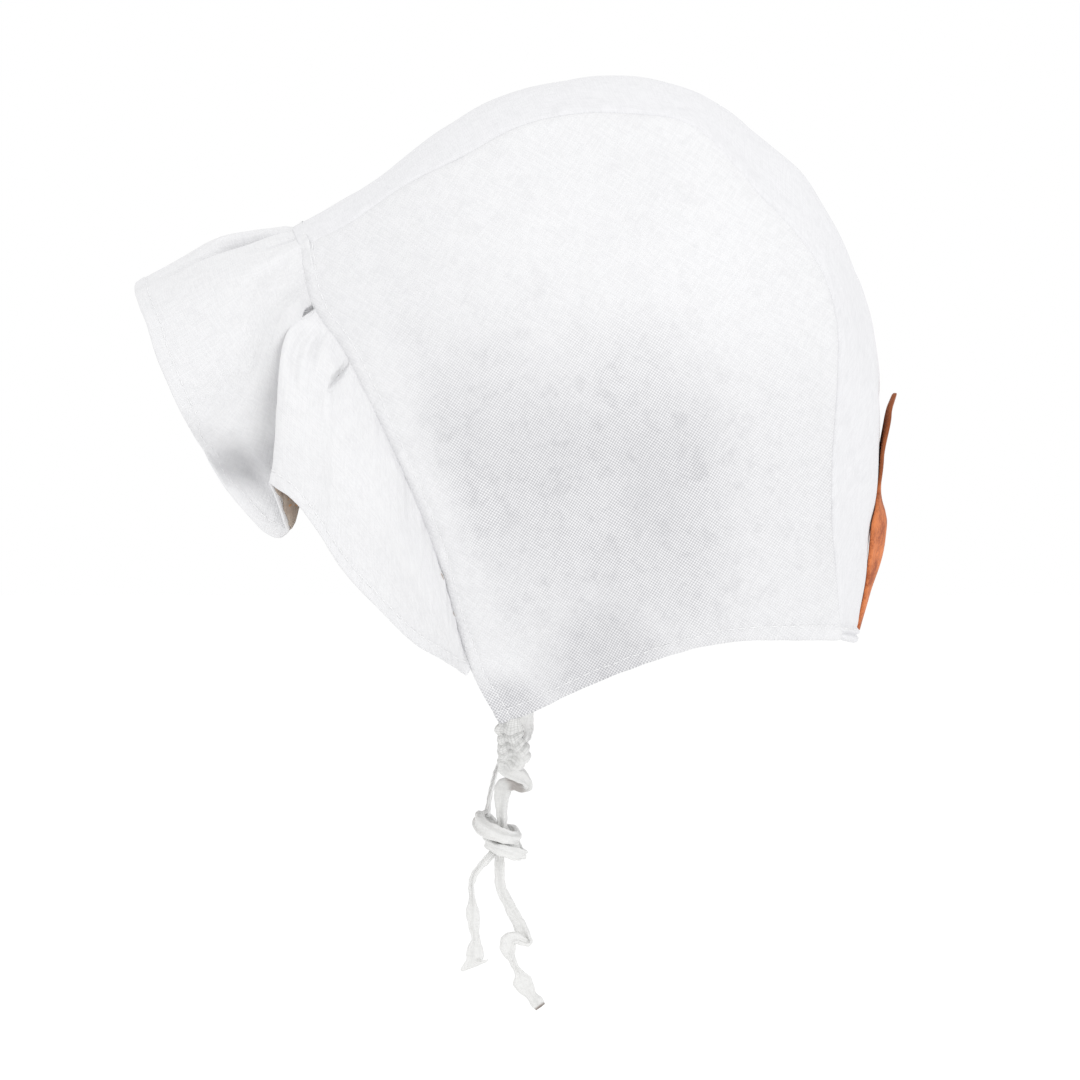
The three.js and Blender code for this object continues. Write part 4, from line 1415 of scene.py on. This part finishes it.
@dataclass
class Brim:
    """The gathered brim: white cloth outside and a printed facing inside."""

    cut: Cut
    hem: Hem
    wall: float = 0.0009
    facing: float = 0.0007
    rows: int = 620
    columns: int = 60
    gather: float = 0.0007
    gather_reach: float = 0.009
    wrinkle: float = 0.00035
    fold_seat: float = 0.352
    fold_width: float = 0.022
    fold_thinner: float = 0.75
    seam_share: float = 0.35
    lining_gap: float = 0.0001
    lining_columns: int = 28
    lining_start: int = 6
    lining_later: int = 9
    lining_end: int = 3

    def surface(self, rows: int, columns: int) -> tuple[Array, Array, Array, Array]:
        """The outer face with its gathers.

        Args:
            rows: How many ribs.
            columns: How many points on a rib.

        Returns:
            The points, the ways into the cloth, the seats of the ribs and the shares outward.
        """
        places = np.linspace(0.0, len(BRIM_ROWS) - 1, rows)
        out = np.concatenate([[-0.045, -0.03, -0.015], np.linspace(0.0, 1.0, columns)])
        points, way_out, seats = self.cut.brim(places, out)
        normals = self.steady(points, way_out, out)
        reach = reach_from(points, Edge.FIRST_COLUMN)
        hem = reach_from(points, Edge.LAST_COLUMN)
        position = reach_from(points, Edge.FIRST_ROW)
        relief = self.hem.relief(hem, position, 31, True)
        wave = Drift(32, 0.005, 0.011).along(position[:, :1])
        relief += self.gather * wave * np.exp(-reach / self.gather_reach) * smooth(reach, 0.0, 0.002)
        for pleat in BRIM_PLEATS:
            middle = pleat.seat + pleat.lean * (out - 0.5)
            begun = smooth(out, pleat.start - 0.02, pleat.start + 0.1)
            ended = smooth(out, pleat.stop - 0.12, pleat.stop)
            fade = begun * (1 - ended)
            relief += pleat.depth * bell(seats[:, None], middle[None, :], pleat.width) * fade[None, :]
        relief += self.wrinkle * Drift(33, 0.012, 0.03).at(points)
        width = reach.max(axis=1, keepdims=True)
        relief *= smooth(width, 0.002, 0.014) * smooth(out, 0.0, 0.03)
        points = points + normals * relief[..., None]
        return points, -self.steady(points, way_out, out), seats, out

    @staticmethod
    def steady(points: Array, way_out: Array, out: Array) -> Array:
        """Normals of the brim that start along the crown's own at the seam.

        Args:
            points: The brim's grid of points.
            way_out: The way out of the crown at each rib.
            out: Shares from the seam at 0 to the hem at 1.

        Returns:
            A normal of length 1 for each point.
        """
        normals = grid_normals(points)
        middle = len(normals) // 2
        normals = normals * np.sign(np.sum(normals[middle, 0] * way_out[middle]))
        for _ in range(2):
            normals[1:-1] = unit(normals[:-2] + 2 * normals[1:-1] + normals[2:])
        free = smooth(out, -0.01, 0.10)[None, :, None]
        return unit(way_out[:, None] * (1 - free) + normals * free)

    def build(self, linen: bpy.types.Material, lining: bpy.types.Material) -> Surface:
        """Make and dress both layers.

        Args:
            linen: The outer cloth.
            lining: The printed facing.

        Returns:
            The outer face.
        """
        points, inward, seats, out = self.surface(self.rows, self.columns)
        reach, along = reach_from(points, Edge.FIRST_COLUMN), reach_from(points, Edge.FIRST_ROW)
        chart = np.stack([np.broadcast_to(along[:, -1:], reach.shape), reach], axis=-1)
        folded = bell(seats, self.fold_seat, self.fold_width)[:, None]
        folded = folded * (1 - smooth(out, 0.30, 0.60))[None, :]
        thin = self.seam_share + (1 - self.seam_share) * smooth(reach, 0.002, 0.016)
        thin = (thin * (1 - self.fold_thinner * folded))[..., None]
        inner = points + inward * self.wall * thin
        thing = sewn_wall("brim_cloth", points, inner, chart)
        dress(thing, linen, ("brim",))
        start = self.lining_start + self.lining_later * bell(seats, 0.345, 0.018)[:, None]
        share = np.linspace(0, 1, self.lining_columns)[None, :]
        places = start + (len(out) - self.lining_end - start) * share
        upper = points + inward * (self.wall + self.lining_gap) * thin
        lower = points + inward * (self.wall + self.lining_gap + self.facing) * thin
        face, back, part_chart = (between_columns(grid, places) for grid in (upper, lower, chart))
        facing = sewn_wall("brim_lining_cloth", face, back, part_chart)
        dress(facing, lining, ("brim_lining",))
        return Surface(points, -inward)


@dataclass
class LeatherTab:
    """The cupped leather tab on the back of the gusset."""

    cut: Cut
    length: float = 0.0658
    width: float = 0.026
    leather: float = 0.0011
    top: float = -0.0871
    rows: int = 110
    columns: int = 41
    clearance: float = 0.0003
    wrinkle: float = 0.0002
    narrowest: float = 0.05

    def build(self, finish: bpy.types.Material) -> None:
        """Make and dress the tab.

        Args:
            finish: The leather.
        """
        table = np.array(TAB_ROWS)
        share = np.linspace(0, 1, self.rows)
        rows = np.interp(share, table[:, 0], np.arange(len(table)))
        along, half, middle, edge = spline(table, rows).T
        part = np.linspace(-1, 1, self.columns)
        z = self.top - along * self.length
        x = part[None, :] * np.maximum(half, self.narrowest)[:, None] * self.width / 2
        gusset_rows = np.linspace(self.cut.turn_row - 2, len(GUSSET_ROWS) - 1, 300)
        inner = np.stack([x, np.zeros_like(x), np.broadcast_to(z[:, None], x.shape)], axis=-1)
        for row in range(self.rows):
            across = x[row] / (self.cut.gusset_breadth / 2)
            lines = self.cut.gusset(gusset_rows, across)
            for column in range(self.columns):
                line = lines[:, column]
                inner[row, column, 1] = np.interp(-z[row], -line[:, 2], line[:, 1])
        rise = middle[:, None] + (edge - middle)[:, None] * np.abs(part) ** 1.7
        inner[..., 1] += rise + self.clearance + self.wrinkle * Drift(41, 0.009, 0.02).at(inner)
        outer = inner + np.array([0.0, self.leather, 0.0])
        chart = np.stack([x + 0.05, inner[..., 2] + 0.3], axis=-1)
        thing = sewn_wall("leather_tab_back", outer, inner, chart, rounds=2)
        dress(thing, finish, ("leather_tab",))


@dataclass(frozen=True)
class Sight:
    """The scale and viewpoint of the photograph, which carry a measured point to metres."""

    pixel: float = 0.00028
    centre: float = 540.0
    distance: float = 1.5
    turn: float = math.radians(3.0)
    aim: tuple[float, float, float] = (0.0, -0.0252, -0.1277)

    def place(self, across: Array, down: Array, depth: Array) -> Array:
        """Places from photo pixels and a depth towards the viewer in millimetres.

        Args:
            across: Pixels from the left edge.
            down: Pixels from the top edge.
            depth: Millimetres towards the viewer.

        Returns:
            The places in metres.
        """
        x = np.asarray(depth) * MILLIMETRE
        pixel = self.pixel * (1 - x / self.distance)
        y = self.aim[1] + (across - self.centre) * pixel + math.tan(self.turn) * x
        return np.stack([x, y, self.aim[2] - (down - self.centre) * pixel], axis=-1)


@dataclass
class Strap:
    """A soft strip swept along a route, with lengthwise folds and cross gathers."""

    sight: Sight
    step: float = 0.0003
    sides: int = 32
    fold: float = 0.5
    gather_pitch: float = 0.0024
    unevenness: float = 0.00012

    def make(self, name: str, rows: Sequence[TieRow], facing: Callable[[Array], Array],
             gathers: Callable[[Array], Array] | None = None) -> tuple[bpy.types.Object, Array]:
        """Make one strip.

        Args:
            name: The name of the piece.
            rows: Its sections.
            facing: The way that the flat side faces at each point, before its turn.
            gathers: The depth of the cross gathers at each share of the length.

        Returns:
            The new object, closed at both ends, and the middles of its sections.
        """
        photo = np.array(rows)
        units = [self.sight.pixel, MILLIMETRE, 1.0]
        table = np.hstack([self.sight.place(*photo[:, :3].T), photo[:, 3:] * units])
        places = np.linspace(0, len(table) - 1, 60 * len(table))
        parts = (slice(0, 3), slice(3, 5), slice(5, 6))
        fine = np.hstack([spline(table[:, part], places) for part in parts])
        length = travelled(fine[:, :3])
        at = np.linspace(0, length[-1], int(length[-1] / self.step))
        sections = read_line(fine, length, at)
        route, half_width, half_thickness, turn = sections[:, :3], *sections[:, 3:].T
        tangents = unit(np.gradient(route, axis=0))
        for _ in range(6):
            tangents[1:-1] = unit(tangents[:-2] + tangents[1:-1] + tangents[2:])
        wide = unit(np.cross(facing(route), tangents))
        thin = np.cross(tangents, wide)
        turn = turn[:, None]
        wide, thin = wide * np.cos(turn) + thin * np.sin(turn), thin * np.cos(turn) - wide * np.sin(turn)
        angles = np.linspace(0, 2 * math.pi, self.sides, endpoint=False)
        cosine, sine = np.cos(angles), np.sin(angles)
        across = np.sign(cosine) * np.abs(cosine) ** 0.85 * half_width[:, None]
        through = np.sign(sine) * np.abs(sine) ** 0.75 * half_thickness[:, None]
        drift = Drift(sum(map(ord, name)), 0.012, 0.03).along(at)[:, None]
        ridges = np.sin(cosine * 5.2 + 1.6 * drift + np.where(sine > 0, 0.0, 1.3))
        through *= 1 + self.fold * ridges
        if gathers is not None:
            wave = np.sin(math.pi * at[:, None] / self.gather_pitch + 0.6 * cosine + 0.4 * drift)
            swell = gathers(at / at[-1])[:, None] * (np.abs(wave) ** 0.5 - 0.55)
            across += swell * cosine
            through += swell * sine
        points = route[:, None] + across[..., None] * wide[:, None] + through[..., None] * thin[:, None]
        uneven = self.unevenness * Drift(7, 0.002, 0.005).at(points)
        points += uneven[..., None] * unit(points - route[:, None])
        chart = np.stack(np.broadcast_arrays(cosine * 0.002 + 0.01, at[:, None]), axis=-1)
        return self.skin(name, points, chart), route

    def skin(self, name: str, points: Array, chart: Array) -> bpy.types.Object:
        """Close the rings of points into a skin.

        Args:
            name: The name of the piece.
            points: The sections, count by sides by three.
            chart: Their texture coordinates.

        Returns:
            The new object.
        """
        count, sides = points.shape[:2]
        numbers = np.arange(count * sides).reshape(count, sides)
        after = np.roll(numbers, -1, axis=1)
        faces = np.stack([numbers[:-1], after[:-1], after[1:], numbers[1:]], axis=-1)
        faces = faces.reshape(-1, 4).tolist()
        faces += [[after[0, i], numbers[0, i], count * sides] for i in range(sides)]
        faces += [[numbers[-1, i], after[-1, i], count * sides + 1] for i in range(sides)]
        caps = [points[0].mean(axis=0), points[-1].mean(axis=0)]
        ends = [chart[0].mean(axis=0), chart[-1].mean(axis=0)]
        every = np.vstack([points.reshape(-1, 3), caps])
        thing = make_piece(name, every, faces, np.vstack([chart.reshape(-1, 2), ends]))
        face_out(thing)
        return thing


@dataclass
class Ties:
    """The ties, knotted under the chin."""

    width: float = 0.006
    knot_middle: tuple[float, float, float] = (0.0, -0.0367, -0.2109)

    def sideways(self, route: Array) -> Array:
        """The way that a hanging tie faces."""
        return np.broadcast_to(np.array([1.0, 0.0, 0.0]), route.shape)

    def from_knot(self, route: Array) -> Array:
        """The way out of the knot."""
        return unit(route - np.array(self.knot_middle))

    def coil(self, share: Array) -> Array:
        """The depth of the gathers at the top of the near tie."""
        return 0.0021 * smooth(share, 0.02, 0.08) * (1 - smooth(share, 0.30, 0.38))

    def build(self, finish: bpy.types.Material, painted_light: bpy.types.Material,
              twisted_shaded: bpy.types.Material, frayed: bpy.types.Material) -> None:
        """Args:
            finish: The cloth.
            painted_light: The lighter cloth of the far tie, painted light where the crown shades it.
            twisted_shaded: The darker cloth of the near tie, painted shade all over and more where its
                underside shows.
            frayed: The cloth of the right end, dark at its tip.
        """
        finishes = {"tie_right": painted_light, "tie_left": twisted_shaded, "tie_end_right": frayed}
        strap = Strap(Sight())
        knot, _ = strap.make("tie_knot_cloth", STRAPS["tie_knot"], self.from_knot)
        core, _ = strap.make("knot_core", KNOT_CORE, self.sideways)
        select(knot)
        core.select_set(True)
        bpy.ops.object.join()
        dress(knot, finish, ("tie_knot",))
        for name, rows in STRAPS.items():
            if name == "tie_knot":
                continue
            gathers = self.coil if name == "tie_left" else None
            thing, path = strap.make(f"{name}_cloth", rows, self.sideways, gathers)
            dress(thing, finishes.get(name, finish), (name,))


@dataclass
class Stitches:
    """Rows of topstitches, each row one piece."""

    pitch: float = 0.0030
    length: float = 0.0023
    radius: float = 0.00016
    lift: float = 0.00012

    def template(self) -> tuple[Array, Array]:
        """The points and faces of one stitch along X, with Z out of the cloth.

        Returns:
            The points and the numbers of each face's points.
        """
        deselect()
        bpy.ops.mesh.primitive_uv_sphere_add(segments=8, ring_count=5, radius=1.0)
        ball = bpy.context.object
        points = np.array([vertex.co[:] for vertex in ball.data.vertices])
        faces = [tuple(face.vertices) for face in ball.data.polygons]
        bpy.data.objects.remove(ball, do_unlink=True)
        points = points[:, [2, 0, 1]]
        reach = np.sign(points[:, 0]) * np.abs(points[:, 0]) ** 0.7
        points = points * np.array([1.0, self.radius, self.radius * 0.8])
        points[:, 0] = reach * self.length / 2
        points[:, 2] -= self.lift * reach**2
        return points, faces

    def row(self, name: str, line: Array, ways: Array, finish: bpy.types.Material) -> None:
        """Sew one row.

        Args:
            name: The name of the row.
            line: The line that it follows, on the cloth.
            ways: The outward normals along the line.
            finish: The thread.
        """
        template, faces = self.template()
        at = travelled(line)
        count = int(at[-1] / self.pitch)
        centres = (np.arange(count) + 0.5) * self.pitch
        middle, out = read_line(line, at, centres), unit(read_line(ways, at, centres))
        before, after = (read_line(line, at, centres + shift * self.length) for shift in (-0.5, 0.5))
        forward = unit(after - before)
        out = unit(out - forward * np.sum(out * forward, axis=1, keepdims=True))
        side = np.cross(out, forward)
        axes = np.stack([forward, side, out], axis=1)
        points = np.einsum("vk,nkc->nvc", template, axes) + (middle + out * self.lift)[:, None]
        starts = [index * len(template) for index in range(count)]
        every = [tuple(start + corner for corner in face) for start in starts for face in faces]
        chart = np.broadcast_to(template[None, :, :2], (count, len(template), 2)).reshape(-1, 2)
        thing = make_piece(name, points.reshape(-1, 3), every, chart)
        face_out(thing)
        dress(thing, finish)


@dataclass
class Studio:
    """The floor, the light and the camera."""

    sight: Sight
    pixels: int = 1080
    floor: float = -0.30

    def build(self) -> None:
        """Place the floor, the lights and the camera."""
        scene = bpy.context.scene
        scene.view_settings.view_transform = "Standard"
        deselect()
        bpy.ops.mesh.primitive_plane_add(size=30.0, location=(0, 0, self.floor))
        floor = bpy.context.object
        floor.name = "studio_floor"
        floor.data.materials.append(Backdrop().material())
        world = bpy.data.worlds.new("studio light")
        world.use_nodes = True
        background = world.node_tree.nodes["Background"]
        background.inputs["Color"].default_value = (1.0, 1.0, 1.0, 1.0)
        background.inputs["Strength"].default_value = 1.0
        scene.world = world
        self.lamp("key", (0.7, -0.6, 1.3), 0.9, 3.4)
        self.lamp("fill", (1.2, 0.9, 0.1), 0.9, 3.8)
        self.camera()

    def lamp(self, name: str, place: tuple[float, float, float], size: float, watts: float) -> None:
        """Place one soft lamp that faces the bonnet.

        Args:
            name: The lamp's name.
            place: Where it stands, in metres.
            size: The side of its square face in metres.
            watts: Its power.
        """
        deselect()
        bpy.ops.object.light_add(type="AREA", location=place)
        lamp = bpy.context.object
        lamp.name = name
        lamp.data.size = size
        lamp.data.energy = watts
        lamp.rotation_euler = (Vector(self.sight.aim) - Vector(place)).to_track_quat("-Z", "Y").to_euler()

    def camera(self) -> None:
        """Place the camera at the photograph's angle."""
        sight = self.sight
        away = Vector((math.cos(sight.turn), math.sin(sight.turn), 0.0)) * sight.distance
        deselect()
        bpy.ops.object.camera_add(location=Vector(sight.aim) + away)
        camera = bpy.context.object
        camera.rotation_euler = (-away).to_track_quat("-Z", "Y").to_euler()
        camera.data.sensor_width = 36.0
        camera.data.lens = camera.data.sensor_width * sight.distance / (sight.pixel * self.pixels)
        camera.data.clip_end = 50.0
        bpy.context.scene.camera = camera


def write_sizes() -> None:
    """Update the view layer."""
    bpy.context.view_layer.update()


def main() -> None:
    """Build the bonnet piece by piece."""
    logging.basicConfig(level=logging.INFO, format="%(name)s %(message)s")
    Studio(Sight()).build()
    cut, hem = Cut(), Hem()
    linen = Linen().material()
    brim_linen = Linen("brim linen", mottle=0.12).material()
    gusset_linen = Linen("gusset linen", (0.785, 0.785, 0.80), strength=0.35, mottle=0.25).material()
    white, grey = (0.80, 0.80, 0.79), (0.50, 0.50, 0.49)
    fine, little = 0.0005, 0.1
    # Painted shade on the underside of the near tie's hooked twist.
    hook_underside_shade = {"darkening_at": 0.0357, "darkening_reach": 0.0042, "darkening_depth": 0.5}
    tip = {"darkening_at": 0.0568, "darkening_reach": 0.0013}
    ties = [
        Linen("tie linen plain", white, grey, fine, mottle=little),
        # A lighter copy of the tie linen for the far tie: painted light where the crown shades it.
        Linen("tie linen clean", (0.93, 0.93, 0.92), (0.75, 0.75, 0.74), fine, mottle=little),
        # A darker copy of the tie linen for the near tie: painted shade, with a band of painted shade on
        # its underside.
        Linen("tie linen twisted", (0.75, 0.75, 0.74), (0.36, 0.36, 0.35), fine, mottle=0.4, **hook_underside_shade),
        Linen("tie linen frayed", white, grey, fine, mottle=little, **tip),
    ]
    thread = Thread().material()
    Ties().build(*(tie.material() for tie in ties))
    gusset = Gusset(cut, hem).build(gusset_linen)
    panels = [SidePanel(cut, hem, side, seed).build(linen) for side, seed in ((1, 21), (-1, 61))]
    brim = Brim(cut, hem).build(brim_linen, PrintedLining().material())
    LeatherTab(cut).build(Leather().material())
    stitches = Stitches()
    for word, panel in zip(("left", "right"), panels):
        for place, edge in (("face", Edge.FIRST_ROW), ("neck", Edge.LAST_COLUMN)):
            line, ways = line_beside(panel, edge, hem.stitch_in)
            stitches.row(f"stitches_{place}_{word}", line, ways, thread)
    stitches.row("stitches_brim_hem", *line_beside(brim, Edge.LAST_COLUMN, hem.stitch_in), thread)
    stitches.row("stitches_nape", *line_beside(gusset, Edge.LAST_ROW, hem.stitch_in), thread)
    write_sizes()


if __name__ == "__main__":
    main()
